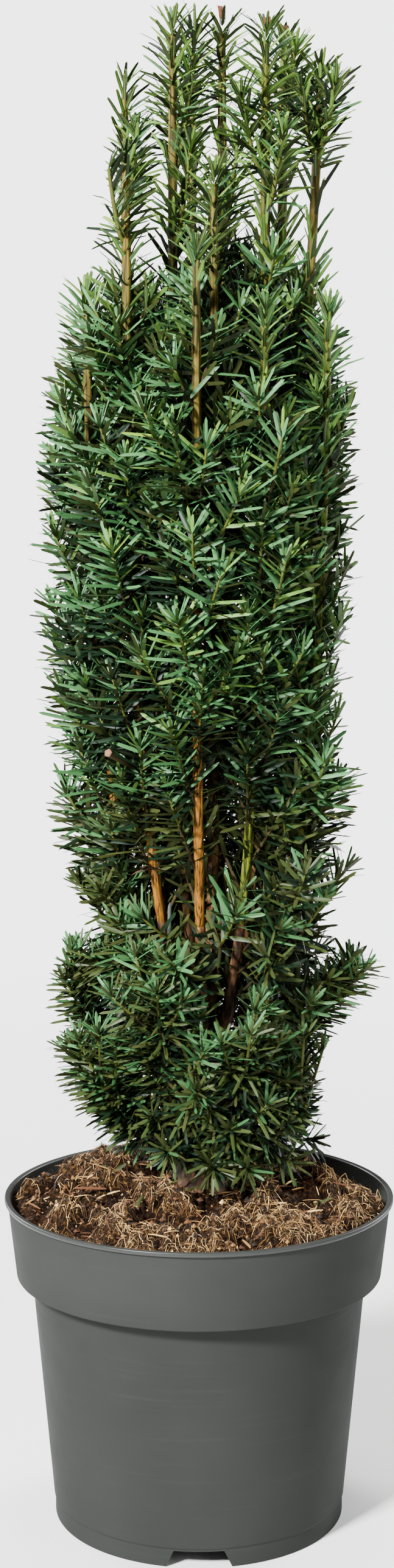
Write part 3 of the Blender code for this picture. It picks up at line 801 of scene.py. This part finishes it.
def pot():
    """The shell, turned from its profile, with notches cut into the foot ring."""
    collar_top = RIM_RADIUS - LIP_OVERHANG
    body_top = COLLAR_FOOT_RADIUS - COLLAR_STEP
    body_foot = FOOT_RADIUS + FOOT_STEP
    profile = [
        (FOOT_RADIUS - FOOT_WALL, FLOOR_HEIGHT),
        (FOOT_RADIUS - FOOT_WALL, 0.0),
        (FOOT_RADIUS, 0.0),
        (FOOT_RADIUS, FLOOR_HEIGHT - 0.0008),
        (body_foot, FLOOR_HEIGHT + 0.0004),
        (body_top, COLLAR_BOTTOM + 0.0004),
        (COLLAR_FOOT_RADIUS, COLLAR_BOTTOM),
        (collar_top, RIM_TOP - LIP_HEIGHT),
        (RIM_RADIUS, RIM_TOP - LIP_HEIGHT + 0.0003),
        (RIM_RADIUS, RIM_TOP),
        (RIM_RADIUS - 0.0042, RIM_TOP - 0.0002),
        (collar_top - WALL, RIM_TOP - LIP_HEIGHT),
        (COLLAR_FOOT_RADIUS - WALL, COLLAR_BOTTOM + WALL + 0.0004),
        (body_top - WALL, COLLAR_BOTTOM + WALL),
        (body_foot - WALL, FLOOR_HEIGHT + WALL),
    ]
    dull = pot_plastic("pot plastic", 0.02, 0.54, 0.62)
    polished = pot_plastic("pot lip", 0.24, 0.26, 0.36)
    rows = [circle(radius, height, POT_SEGMENTS) for radius, height in rounded(profile, CORNER)]
    made = tube_piece("pot_shell", rows, [dull, polished])
    cutters = [notch_cutter(index) for index in range(NOTCHES)]
    for cutter in cutters:
        cut = made.modifiers.new("notch", "BOOLEAN")
        cut.operation = "DIFFERENCE"
        cut.object = cutter
    bake_modifiers(made)
    for cutter in cutters:
        bpy.data.objects.remove(cutter)
    made.data.shade_smooth()
    made.data.set_sharp_from_angle(angle=POT_CREASE)
    for face in made.data.polygons:
        face.material_index = int(face.center.z > RIM_TOP - LIP_HEIGHT)
    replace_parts(made, "pot")
    return made


def bake_modifiers(made):
    graph = bpy.context.evaluated_depsgraph_get()
    graph.update()
    mesh = bpy.data.meshes.new_from_object(made.evaluated_get(graph))
    made.modifiers.clear()
    made.data = mesh


def notch_cutter(index):
    """A block with slanted sides that opens the foot ring from below."""
    corners = []
    for reach in (FOOT_RADIUS * 0.85, FOOT_RADIUS + 0.0200):
        for width, height in ((NOTCH_BOTTOM, -0.0010), (NOTCH_TOP, NOTCH_HEIGHT)):
            corners += [(-width / 2, -reach, height), (width / 2, -reach, height)]
    made = new_object("notch", corners, BLOCK_FACES)
    made.data.transform(Matrix.Rotation(math.tau * index / NOTCHES, 4, "Z"))
    return made


# Soil

def soil_height(x, y):
    """The filling's surface: a low heap with mounds, hollows, lumps and crumbs."""
    radius = math.hypot(x, y)
    radii = (SOIL_TOP_RADIUS, SOIL_SHOULDER_RADIUS, SOIL_RADIUS)
    height = float(np.interp(radius, radii, (SOIL_TOP, SOIL_SHOULDER, SOIL_EDGE)))
    for middle_x, middle_y, spread, rise in MOUNDS:
        square = (x - middle_x) ** 2 + (y - middle_y) ** 2
        height += rise * math.exp(-square / spread ** 2)
    edge = min(1.0, (SOIL_RADIUS - radius) / 0.012)
    crumbs = noise.fractal(Vector((x, y, 0.7)) * 260.0, 0.7, 2.2, 3)
    return height + max(edge, 0.25) * (LUMP * lumps(x, y) + CRUMB * crumbs)


def lumps(x, y):
    """Clods and the pits between them, from about -1 in a pit to 1 on a clod."""
    return noise.fractal(Vector((x, y, 0.3)) * 52.0, 0.9, 2.1, 3)


def soil():
    """The filling: a rough surface on a plain body that fills the pot."""
    vertices = [(0.0, 0.0, soil_height(0.0, 0.0))]
    for row in range(1, SOIL_RINGS + 1):
        for x, y, _ in circle(SOIL_RADIUS * row / SOIL_RINGS, 0.0, SOIL_SECTORS):
            vertices.append((x, y, soil_height(x, y)))
    lower = (
        (COLLAR_FOOT_RADIUS - WALL - 0.0009, COLLAR_BOTTOM + WALL + 0.0009),
        (COLLAR_FOOT_RADIUS - COLLAR_STEP - WALL - 0.0006, COLLAR_BOTTOM + WALL + 0.0004),
        (FOOT_RADIUS + FOOT_STEP - WALL - 0.0009, FLOOR_HEIGHT + WALL + 0.0003),
    )
    for radius, height in lower:
        vertices += circle(radius, height, SOIL_SECTORS)
    faces = [(0, 1 + k, 1 + (k + 1) % SOIL_SECTORS) for k in range(SOIL_SECTORS)]
    last = len(vertices) - SOIL_SECTORS
    for low in range(1, last, SOIL_SECTORS):
        for k in range(SOIL_SECTORS):
            j = (k + 1) % SOIL_SECTORS
            faces.append((low + k, low + SOIL_SECTORS + k, low + SOIL_SECTORS + j, low + j))
    faces.append(tuple(last + k for k in reversed(range(SOIL_SECTORS))))
    coir = soil_crumb("coir dust", (0.002, 0.001, 0.0004), (0.022, 0.010, 0.003), (0.110, 0.058, 0.018))
    peat = soil_crumb("peat with painted pit shade", (0.002, 0.001, 0.0005), (0.010, 0.004, 0.0012), (0.050, 0.020, 0.006))
    made = new_piece("soil_filling", vertices, faces, [coir, peat])
    made.data.shade_smooth()
    # The pits get the peat material: partly real peat, partly painted shade in the hollows.
    for face in made.data.polygons:
        face.material_index = int(lumps(face.center.x, face.center.y) < PIT)
    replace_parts(made, "soil")


def soil_place(generator, margin):
    """A random place on the soil, this far or farther from its edge."""
    angle = generator.uniform(0, math.tau)
    radius = (SOIL_RADIUS - margin) * math.sqrt(generator.random())
    return radius * math.cos(angle), radius * math.sin(angle)


def on_soil(x, y, lift):
    return Vector((x, y, soil_height(x, y) + lift))


CREAM, TAN, BROWN, DARK, RED = range(5)


def fibre_colours():
    return [
        plain("fibre cream", (0.760, 0.490, 0.180), 0.75),
        plain("fibre tan", (0.250, 0.130, 0.036), 0.80),
        plain("fibre brown", (0.070, 0.028, 0.008), 0.85),
        plain("fibre dark", (0.012, 0.005, 0.0015), 0.90),
        plain("fibre red", (0.130, 0.048, 0.012), 0.85),
    ]


def soil_fibres(colours):
    """Coir strands that lie on the surface in loose curls, thickest on the left and in front."""
    generator = random.Random(SEED + 7)
    strands = Strands(3)
    laid = 0
    while laid < FIBRES:
        x, y = soil_place(generator, 0.002)
        pale = 0.62 + 0.30 * math.sin(math.atan2(y, x) + 2.6)
        # Fewer strands lie in the pits, so their painted shade stays dark.
        if generator.random() > 0.16 + 2.2 * (lumps(x, y) - PIT):
            continue
        if generator.random() > 0.35 + 0.65 * pale:
            continue
        laid += 1
        tint = pick(generator, {CREAM: 22 * pale, TAN: 24 * pale, BROWN: 26, DARK: 36, RED: 8})
        long = laid % 5 == 0
        length = generator.uniform(0.007, 0.020) if long else generator.uniform(0.0025, 0.0075)
        heading = generator.uniform(0, math.tau)
        curl = generator.choice((-1, 1)) * generator.uniform(30, 200)
        lift = generator.uniform(0.0, 0.0055 if long else 0.0020)
        thickness = generator.uniform(0.00010, 0.00024) * (1.3 if tint == CREAM else 1.1)
        centres = []
        steps = 4 if long else 2
        for k in range(steps + 1):
            if math.hypot(x, y) > SOIL_RADIUS - 0.0012:
                break
            share = k / steps
            arch = lift * math.sin(math.pi * share)
            centres.append(on_soil(x, y, thickness * 0.5 + arch))
            heading += curl * length / steps + generator.uniform(-0.6, 0.6)
            x += math.cos(heading) * length / steps
            y += math.sin(heading) * length / steps
        if len(centres) < steps:
            continue
        radii = [thickness * (1 - 0.6 * k / steps) for k in range(len(centres))]
        strands.add(centres, radii, [tint] * (len(centres) - 1))
    strands.piece("soil_fibres", colours, "soil")


def soil_straws(colours):
    """Flat splinters of husk, lying on the surface at slight angles."""
    generator = random.Random(SEED + 8)
    rows = ((-1.0, 0.35, 0.0), (-0.4, 1.0, 0.6), (0.4, 0.9, 0.7), (1.0, 0.2, 0.0))
    vertices = []
    faces = []
    tints = []
    for _ in range(STRAWS):
        middle = on_soil(*soil_place(generator, 0.012), 0.0008)
        heading = generator.uniform(0, math.tau)
        along = (flat_aim(heading) + Vector((0, 0, generator.uniform(-0.25, 0.25)))).normalized()
        roll = generator.uniform(-0.6, 0.6)
        across = along.cross(Vector((0, math.sin(roll), math.cos(roll)))).normalized()
        normal = across.cross(along)
        half_length = generator.uniform(0.004, 0.011)
        half_width = generator.uniform(0.0003, 0.0009)
        straw = tube_faces(len(rows), 4, len(vertices))
        faces += straw
        for share, fullness, hump in rows:
            centre = middle + along * half_length * share + normal * 0.0008 * hump
            edge = across * half_width * fullness
            lift = normal * STRAW_THICKNESS / 2
            vertices += [centre - edge + lift, centre + edge + lift]
            vertices += [centre + edge - lift, centre - edge - lift]
        tint = pick(generator, {CREAM: 22, TAN: 44, BROWN: 22, DARK: 2, RED: 10})
        tints += [tint] * len(straw)
    new_piece("soil_straws", vertices, faces, colours, tints)


def soil_crumbs(colours):
    """Small angular lumps of peat and husk."""
    generator = random.Random(SEED + 9)
    corners = [Vector(c) for c in ((1, 0, 0), (-1, 0, 0), (0, 1, 0), (0, -1, 0), (0, 0, 1), (0, 0, -1))]
    sides = [(0, 2, 4), (2, 1, 4), (1, 3, 4), (3, 0, 4), (2, 0, 5), (1, 2, 5), (3, 1, 5), (0, 3, 5)]
    vertices = []
    faces = []
    tints = []
    for _ in range(CRUMBS):
        x, y = soil_place(generator, 0.004)
        size = 0.0007 + 0.0022 * generator.random() ** 2
        centre = on_soil(x, y, 0.3 * size)
        start = len(vertices)
        for corner in corners:
            vertices.append(centre + corner * size * generator.uniform(0.5, 1.2))
        for side in sides:
            faces.append(tuple(start + i for i in side))
        tint = pick(generator, {CREAM: 4, TAN: 12, BROWN: 34, DARK: 40, RED: 10})
        tints += [tint] * len(sides)
    new_piece("soil_crumbs", vertices, faces, colours, tints)


def fallen_needles(palette):
    """A few needles that lie on the soil under the crown."""
    generator = random.Random(SEED + 10)
    needles = Needles(True)
    for _ in range(FALLEN_NEEDLES):
        angle = generator.uniform(0, math.tau)
        radius = generator.uniform(0.035, 0.105)
        root = on_soil(radius * math.cos(angle), radius * math.sin(angle), 0.0022)
        heading = generator.uniform(0, math.tau)
        aim = (flat_aim(heading) + Vector((0, 0, generator.uniform(-0.05, 0.20)))).normalized()
        upper = Vector((generator.uniform(-0.6, 0.6), generator.uniform(-0.6, 0.6), 1.0))
        tint = generator.choice((GREEN, OLD, OLD, DRIED))
        needles.add(root, aim, upper, NEEDLE * 0.8, NEEDLE_WIDTH * 0.9, 0.05, tint)
    needles.piece("fallen_needles", palette)


# Trunk and limbs

def bark_rows(line_at, radius_at, heights, sides, relief, ridges, seed):
    """Rings of points along an upright limb, with ridges and flakes raised out of its side."""
    rows = []
    side = Vector((1, 0, 0))
    for height in heights:
        along = (line_at(height + 0.002) - line_at(height - 0.002)).normalized()
        side = (side - along * side.dot(along)).normalized()
        radii = []
        for i in range(sides):
            angle = math.tau * i / sides
            place = Vector((math.cos(angle) * 2.4, math.sin(angle) * 2.4, height * 42.0 + seed))
            rough = noise.fractal(place, 0.8, 2.1, 3)
            wave = math.cos(ridges * angle + seed + 9.0 * height)
            radii.append(radius_at(height) * (1 + relief * (0.55 * rough + 0.45 * wave)))
        rows.append(ring(line_at(height), side, along, radii))
    return rows


def levels(start, end, step):
    """Heights from start to end, about a step apart."""
    count = max(4, round((end - start) / step))
    return [start + (end - start) * k / count for k in range(count + 1)]


def trunk(bark):
    """The short flared stem, its foot sunk in the soil, with its bark in flakes."""
    def radius_at(height):
        rise = max(height - TRUNK_FOOT, 0.0)
        return trunk_radius(TRUNK_FOOT + rise) * (1 - 0.55 * max(0.0, (height - 0.352) / 0.014) ** 2)

    heights = levels(TRUNK_FOOT - 0.006, TRUNK_TOP, 0.0016)
    rows = bark_rows(trunk_axis, radius_at, heights, sides=64, relief=0.13, ridges=3, seed=0.6)
    made = tube_piece("trunk_bark", rows, [bark])
    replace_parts(made, "trunk")


def limb(name, bark, skin):
    """One bough and the stem that carries on from it to the leader's tip."""
    fork = FORKS[name]
    parting = max(0.5 * (crown_base(name) + fork) + 0.05, 0.44)

    def line_at(height):
        return leader_point(name, height)

    def radius_at(height):
        swell = 1 + 0.65 * math.exp(-(height - fork) / 0.014)
        return leader_radius(name, height) * swell

    heights = levels(fork, TIPS[name].z - 0.60 * NEEDLE, 0.0045)
    seed = 3.0 * list(LEADERS).index(name)
    rows = bark_rows(line_at, radius_at, heights, sides=15, relief=0.20, ridges=5, seed=seed)
    made = tube_piece("limb_" + name, rows, [bark, skin])
    for face in made.data.polygons:
        face.material_index = int(face.center.z > parting)
    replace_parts(made, "bough_" + name)


# Foliage

def pick(generator, shares):
    """One of the keys, each as likely as its share."""
    return generator.choices(list(shares), list(shares.values()))[0]


def needle_tint(generator, point, share, mood):
    """Needles are old and dark at a shoot's foot and fresh at the tips and on top; deep inside the
    outline, low down and here and there in the tufts they get the painted shade tint.
    """
    if point.z > OPEN_FROM:
        return pick(generator, {SHADE: 19, DEEP: 42, GREEN: 20, FRESH: 11, MOSS: 8})
    # The depth term is painted shade: the farther a needle lies inside the outline, the darker its tint.
    age_and_depth_shade = (1 - share) * 0.20 + mood * 0.30 + min(1.0, max(0.0, depth_at(point) / 0.070)) * 0.50
    if point.z > DENSE_FROM:
        if age_and_depth_shade > 0.62:
            return SHADE
        if age_and_depth_shade > 0.46:
            return pick(generator, {SHADE: 30, DEEP: 48, MOSS: 10, BLUE: 12})
        if age_and_depth_shade > 0.28:
            return pick(generator, {SHADE: 6, DEEP: 38, BLUE: 42, GREEN: 14})
        return pick(generator, {DEEP: 24, BLUE: 50, GREEN: 20, FRESH: 6})
    if share < 0.35 or age_and_depth_shade > 0.60:
        return pick(generator, {OLD: 22, SHADE: 50, MOSS: 28})
    if point.z < FOOT_TO:
        return pick(generator, {OLD: 14, SHADE: 30, MOSS: 40, DEEP: 16})
    if share < 0.75 or mood > 0.7:
        return pick(generator, {OLD: 18, SHADE: 14, MOSS: 50, DEEP: 18})
    return pick(generator, {MOSS: 30, DEEP: 46, BLUE: 18, OLD: 6})


# How needles stand on one kind of line: the step from one to the next, their degrees off the line
# at its foot and tip, the least and most curve as a share of the length, the length, how far they
# turn up to the light, the width, and how far they may turn about their own length.
Habit = namedtuple("Habit", "step tilts bends size lift width roll", defaults=(0.05, NEEDLE_WIDTH, 0.40))
SIDE_HABIT = Habit(NEEDLE_STEP, (80, 50), (-0.08, 0.20), NEEDLE * 1.04, 0.05, 0.0032, 1.0)
INSIDE_HABIT = Habit(2.2 * NEEDLE_STEP, (72, 50), (-0.10, 0.06), NEEDLE)
STEM_HABIT = Habit(0.0034, (62, 56), (0.05, 0.20), NEEDLE)
LOOSE_HABIT = Habit(0.0017, (46, 34), (0.02, 0.20), NEEDLE * 1.12, 0.10, 0.0028, 1.0)
THIN_HABIT = Habit(0.0058, (26, 36), (0.02, 0.26), NEEDLE * 1.12, 0.10, 0.0029, 1.0)
FULL_HABIT = Habit(0.0015, (58, 48), (0.02, 0.24), NEEDLE, 0.08, 0.0028, 1.0)
TUFT_HABIT = Habit(0.00092, (74, 34), (0.06, 0.34), NEEDLE * 0.95, 0.08, 0.0027, 1.1)
LOW_HABIT = Habit(NEEDLE_STEP * 0.95, (74, 52), (0.00, 0.22), NEEDLE * 0.86, 0.02, 0.0026, 0.9)


def dress(needles, line, generator, allowed, start, habit, mood):
    """Set needles round a line in a spiral, from a distance along it to its end."""
    distance = start
    angle = generator.uniform(0, math.tau)
    first, last = habit.tilts
    while distance < line.length:
        share = distance / line.length
        point, along = line.at(distance)
        out = spoke(along.orthogonal().normalized(), along, angle)
        tilt = math.radians(first + (last - first) * share + generator.uniform(-6, 6))
        aim, upper = tilted(along, out, tilt)
        aim.z += habit.lift
        aim.normalize()
        upper += aim.cross(upper) * habit.roll * generator.uniform(0.4, 1.0) * generator.choice((-1, 1))
        full = 0.82 + 0.18 * math.sin(math.pi * min(1.0, share * 1.15))
        length = habit.size * full * generator.uniform(0.84, 1.10)
        end = point + aim * length
        if allowed(end) and not hides_stem(end) and not hides_stem(point + aim * length * 0.6):
            width = habit.width * generator.uniform(0.85, 1.12)
            bend = generator.uniform(*habit.bends)
            tint = needle_tint(generator, point, share, mood)
            needles.add(point, aim, upper, length, width, bend, tint)
        angle += TURN
        distance += habit.step * generator.uniform(0.8, 1.2)


def rosette(needles, line, generator, allowed, size, mood):
    """The close bunch of short needles round a shoot's tip."""
    point, along = line.at(line.length)
    side = along.orthogonal().normalized()
    for k in range(ROSETTE):
        inward = 1 - k / ROSETTE
        aim, upper = tilted(along, spoke(side, along, TURN * k), math.radians(8 + 42 * inward))
        aim.normalize()
        length = size * generator.uniform(0.60, 0.90) * (0.62 + 0.38 * inward)
        if allowed(point + aim * length):
            tint = needle_tint(generator, point, 1.0, mood)
            needles.add(point, aim, upper, length, NEEDLE_WIDTH * 0.76, 0.05, tint)


def buds(needles, line, generator, count):
    """Brown bud scales at a leader's tip. Where the tip has dried there are many."""
    point, along = line.at(line.length)
    side = along.orthogonal().normalized()
    for k in range(count):
        out = spoke(side, along, TURN * k)
        aim, _ = tilted(along, out, generator.uniform(0.1, 0.5))
        root = point + along * generator.uniform(0.000, 0.007) + out * 0.001
        length = generator.uniform(0.006, 0.011)
        needles.add(root, aim.normalized(), out, length, 0.0026, 0.0, DRIED)


GREEN_TWIG, BROWN_TWIG, DEAD_TWIG, CUT_TWIG = range(4)


def twig_colours():
    return [
        plain("twig green", (0.060, 0.070, 0.010), 0.60, 0.15),
        plain("twig brown", (0.034, 0.024, 0.008), 0.75, 0.15),
        plain("twig dead", (0.085, 0.036, 0.020), 0.85),
        plain("twig cut", (0.200, 0.095, 0.045), 0.80),
    ]


def shoot_line(root, aim, length):
    centres = []
    for k in range(SHOOT_SEGMENTS + 1):
        distance = length * k / SHOOT_SEGMENTS
        bend = SHOOT_BEND * distance * distance / length
        centres.append(root + aim * distance + Vector((0, 0, bend)))
    return centres


def grow_shoot(twigs, needles, centres, generator, allowed, habit):
    """One side shoot with its needles and its rosette."""
    steps = shares(len(centres) - 1)
    radii = [SHOOT_ROOT_RADIUS + (SHOOT_TIP_RADIUS - SHOOT_ROOT_RADIUS) * share for share in steps]
    tints = [BROWN_TWIG if share < 0.45 else GREEN_TWIG for share in steps[:-1]]
    twigs.add(centres, radii, tints)
    line = Line(centres)
    mood = generator.random()
    dress(needles, line, generator, allowed, 0.12 * line.length, habit, mood)
    rosette(needles, line, generator, allowed, habit.size, mood)


def dead_twiglets(twigs, root, reach, generator):
    """Short dry side twigs that have lost their needles."""
    for _ in range(TWIGLETS):
        angle = generator.uniform(math.pi, math.tau)
        aim = Vector((math.cos(angle), math.sin(angle), generator.uniform(-0.5, 0.5)))
        middle = root + aim * reach * 0.5 + Vector((0, 0, generator.uniform(-0.002, 0.002)))
        end = root + aim * reach * generator.uniform(0.7, 1.2)
        twigs.add([root, middle, end], [0.0005, 0.0004, 0.0002], [DEAD_TWIG] * 2)


def second_shoot(root, tip, twigs, needles, generator, allowed):
    """A shoot that leaves a tall leader and turns up beside it, with a tuft at its end."""
    steps = shares(SECOND_SHOOT_STEPS)
    centres = [part_way(root, tip, share ** 0.55, share) for share in steps]
    radii = [0.0020 - 0.0008 * share for share in steps]
    twigs.add(centres, radii, [GREEN_TWIG] * SECOND_SHOOT_STEPS)
    line = Line(centres)
    start = max(0.10 * line.length, line.length - TERMINAL)
    dress(needles, line, generator, allowed, start, TUFT_HABIT, 0.3)
    rosette(needles, line, generator, allowed, NEEDLE, 0.2)
    lower = Line(centres[:5])
    dress(needles, lower, generator, allowed, 0.1 * lower.length, THIN_HABIT, 0.5)


def stretch(name, low, high, count):
    """A part of a leader, as a line."""
    return Line([leader_point(name, low + (high - low) * k / count) for k in range(count + 1)])


def side_shoots(name, dense_top, twigs, needles, generator, allowed):
    """Shoots all round a leader, shorter towards the top, that leave its bare stretches open."""
    base = crown_base(name)
    bare = BARE.get(name, ())
    angle = generator.uniform(0, math.tau)
    height = base
    while height < dense_top:
        hidden = any(low - 0.5 * SHOOT_LENGTH < height < high for low, high in bare)
        settled = min(1.0, 0.35 + 0.65 * (height - base) / 0.080)
        for attempt in range(ATTEMPTS):
            angle += TURN
            if hidden and math.sin(angle) < -0.75:
                continue
            rise = SHOOT_RISE * settled + generator.uniform(-0.20, 0.20) + 0.03 * attempt
            aim = risen_aim(angle, rise)
            length = SHOOT_LENGTH * generator.uniform(0.78, 1.18) * (1 - 0.045 * attempt)
            length *= min(1.0, 0.45 + 0.55 * (dense_top - height) / 0.070)
            centres = shoot_line(leader_point(name, height), aim, length)
            if allowed(centres[-1] + aim * NEEDLE * 0.4):
                habit = INSIDE_HABIT if depth_at(centres[-1]) > DEEP_INSIDE else SIDE_HABIT
                grow_shoot(twigs, needles, centres, generator, allowed, habit)
                break
        height += SHOOT_STEP * generator.uniform(0.8, 1.2)


def above(point):
    """True where the needles of a leader's top may end."""
    return point.z < CROWN_TOP and in_reach(point, 0.004)


def leader_top(name, dense_top, needles, generator, on_stem):
    """The sparse needles on a leader's thin upper stem, and the tuft at its tip."""
    tip = TIPS[name].z
    tall = tip > TALL
    tuft = tip - TERMINAL * generator.uniform(0.85, 1.25)
    part = dense_top + (tuft - dense_top) * (0.45 if tall else 0.0)
    lower = stretch(name, dense_top - 0.02, part, 8)
    dress(needles, lower, generator, on_stem if name in BARE else above, 0.0, LOOSE_HABIT, 0.4)
    upper = stretch(name, part, tuft, 8)
    dress(needles, upper, generator, above, 0.0, THIN_HABIT if tall else FULL_HABIT, 0.4)
    end = stretch(name, tuft, tip - 0.42 * NEEDLE, 5)
    dress(needles, end, generator, above, 0.0, TUFT_HABIT, 0.3)
    rosette(needles, end, generator, above, NEEDLE, 0.2)
    buds(needles, end, generator, DRY_TIPS.get(name, 0))


def leader_foliage(name, palette, twig_finishes):
    """All that grows on one leader, in three pieces: needles below, tufts on top, and twigs."""
    generator = random.Random(SEED + list(LEADERS).index(name))
    twigs = Strands(5)
    needles = Needles(False)
    dense_top = min(TIPS[name].z - TERMINAL - 0.020, DENSE_TOP)
    if name in INNER:
        dense_top += generator.uniform(-0.01, 0.05)

    def allowed(point):
        return in_leader_cell(name, point)

    def on_stem(point):
        bare = any(low < point.z < high + 0.010 for low, high in BARE.get(name, ()))
        return allowed(point) and not bare

    side_shoots(name, dense_top, twigs, needles, generator, allowed)
    stem = stretch(name, crown_base(name), dense_top, 20)
    dress(needles, stem, generator, on_stem, 0.0, STEM_HABIT, 0.6)
    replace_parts(needles.piece("needles_" + name, palette), "foliage_" + name)

    crown = Needles(True)
    leader_top(name, dense_top, crown, generator, on_stem)
    for height, tip in SECOND_SHOOTS.get(name, ()):
        second_shoot(leader_point(name, height), Vector(tip), twigs, crown, generator, above)
    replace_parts(crown.piece("tuft_" + name, palette), "foliage_" + name)

    if name in CUT_STUBS:
        height, end = CUT_STUBS[name]
        root = leader_point(name, height)
        centres = [root.lerp(Vector(end), share) for share, _ in CUT_STUB_SHAPE]
        radii = [radius for _, radius in CUT_STUB_SHAPE]
        twigs.add(centres, radii, [BROWN_TWIG] * 3 + [CUT_TWIG])
    if name in DEAD_TWIGLETS:
        height, reach = DEAD_TWIGLETS[name]
        dead_twiglets(twigs, leader_point(name, height), reach, generator)
    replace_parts(twigs.piece("twigs_" + name, twig_finishes, "bark"), "foliage_" + name)


def low_foliage(name, palette, twig_finishes):
    """A low side mass: a stem that turns up, with shoots to both sides, in front and behind."""
    generator = random.Random(SEED + 100 + list(LOW_MASSES).index(name))
    facing = math.radians(LOW_MASSES[name][0])
    twigs = Strands(6)
    needles = Needles(False)
    centres = low_line(name)
    line = Line(centres)

    def allowed(point):
        if not soil_height(point.x, point.y) + LOW_CLEAR < point.z < LOW_CROWN_TOP:
            return False
        return in_reach(point, 0.006)

    radii = [0.0030 - 0.0016 * k / LOW_STEPS for k in range(LOW_STEPS + 1)]
    tints = [BROWN_TWIG if k < 0.7 * len(centres) else GREEN_TWIG for k in range(LOW_STEPS)]
    twigs.add(centres, radii, tints)
    for k in range(LOW_SHOOTS):
        share = 0.25 + 0.68 * k / (LOW_SHOOTS - 1)
        root, _ = line.at(share * line.length)
        for attempt in range(ATTEMPTS):
            side = 1 if (k + attempt) % 2 else -1
            turn = facing + side * generator.uniform(0.1, 1.2)
            aim = risen_aim(turn, generator.uniform(0.30, 1.05) + 0.35 * share)
            length = SHOOT_LENGTH * generator.uniform(0.60, 1.0) * (1 - 0.03 * attempt)
            shoot = shoot_line(root, aim, length)
            if allowed(shoot[-1] + aim * NEEDLE * 0.5):
                grow_shoot(twigs, needles, shoot, generator, allowed, LOW_HABIT)
                break
    for end in map(Vector, FOOT_SHOOTS.get(name, ())):
        root = trunk_axis(FOOT_SHOOT_ROOT) + (end - trunk_axis(end.z)).normalized() * 0.012
        shoot = [root.lerp(end, share) for share in shares(SHOOT_SEGMENTS)]
        grow_shoot(twigs, needles, shoot, generator, allowed, LOW_HABIT)
    dress(needles, line, generator, allowed, 0.45 * line.length, LOW_HABIT, 0.5)
    rosette(needles, line, generator, allowed, NEEDLE, 0.2)
    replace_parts(needles.piece("needles_" + name, palette), "foliage_" + name)
    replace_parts(twigs.piece("twigs_" + name, twig_finishes, "bark"), "foliage_" + name)


# Studio

def camera():
    data = bpy.data.cameras.new("camera")
    data.lens = CAMERA_LENS
    data.sensor_width = SENSOR
    data.clip_start = 0.05
    data.clip_end = 50
    made = link(bpy.data.objects.new("camera", data))
    made.location = CAMERA_PLACE
    made.rotation_euler = (math.pi / 2 - CAMERA_PITCH, 0, 0)
    bpy.context.scene.camera = made


def area_light(name, place, target, size, power):
    data = bpy.data.lights.new(name, "AREA")
    data.shape = "SQUARE"
    data.size = size
    data.energy = power
    made = link(bpy.data.objects.new(name, data))
    made.location = place
    made.rotation_euler = (Vector(target) - Vector(place)).to_track_quat("-Z", "Y").to_euler()


def backdrop():
    """An even pale ground far off on all sides, which only the camera sees."""
    ends = (-BACKDROP_REACH, BACKDROP_REACH)
    pale = plain("backdrop", (0, 0, 0), 1.0, 0.0)
    shader = pale.node_tree.nodes["Principled BSDF"]
    shader.inputs["Emission Color"].default_value = (1.0, 1.0, 1.0, 1.0)
    shader.inputs["Emission Strength"].default_value = BACKDROP_LIGHT
    corners = [(x, y, z) for x in ends for y in ends for z in ends]
    made = new_object("backdrop", corners, BLOCK_FACES, [pale])
    made.visible_diffuse = False
    made.visible_glossy = False
    made.visible_transmission = False
    made.visible_shadow = False


def floor():
    """A pale floor that fades out into the backdrop."""
    pale = Nodes("floor", 0.9, colour=(0.90, 0.90, 0.90))
    pale.drive("Alpha", pale.between(pale.distance(), *FLOOR_FADE, 1.0, 0.0))
    reach = FLOOR_FADE[1]
    corners = [(-reach, -reach, 0), (reach, -reach, 0), (reach, reach, 0), (-reach, reach, 0)]
    made = new_object("floor", corners, [(0, 1, 2, 3)], [pale.material])


def studio():
    """A pale floor and backdrop, an even sky, and soft lights from all sides and above."""
    world = bpy.data.worlds.new("studio")
    world.use_nodes = True
    sky = world.node_tree.nodes["Background"]
    sky.inputs["Color"].default_value = (1.0, 1.0, 1.0, 1.0)
    sky.inputs["Strength"].default_value = SKY_LIGHT
    bpy.context.scene.world = world
    area_light("key", (-1.6, -2.2, 2.2), (0, 0, 0.5), 0.5, 505)
    area_light("fill", (2.2, -1.8, 1.6), (0, 0, 0.7), 1.6, 30)
    area_light("top", (0.1, 0.6, 3.0), (0, 0, 0.6), 1.0, 50)
    area_light("back left", (-2.2, 2.4, 1.8), (0, 0, 0.5), 1.6, 135)
    area_light("back right", (2.4, 2.0, 1.6), (0, 0, 0.5), 1.6, 135)
    backdrop()
    floor()


def main():
    camera()
    studio()
    pot()
    soil()
    fibres = fibre_colours()
    soil_fibres(fibres)
    soil_straws(fibres)
    soil_crumbs(fibres)
    palette = Palette()
    fallen_needles(palette)
    bark = old_bark()
    trunk(bark)
    tan_skin = young_bark("young bark tan", (0.240, 0.100, 0.013), (0.108, 0.092, 0.016))
    green_skin = young_bark("young bark green", (0.105, 0.130, 0.010), (0.074, 0.080, 0.009))
    for name in LEADERS:
        limb(name, bark, green_skin if name in GREEN_LIMBS else tan_skin)
    twig_finishes = twig_colours()
    for name in LEADERS:
        leader_foliage(name, palette, twig_finishes)
    for name in LOW_MASSES:
        low_foliage(name, palette, twig_finishes)


main()
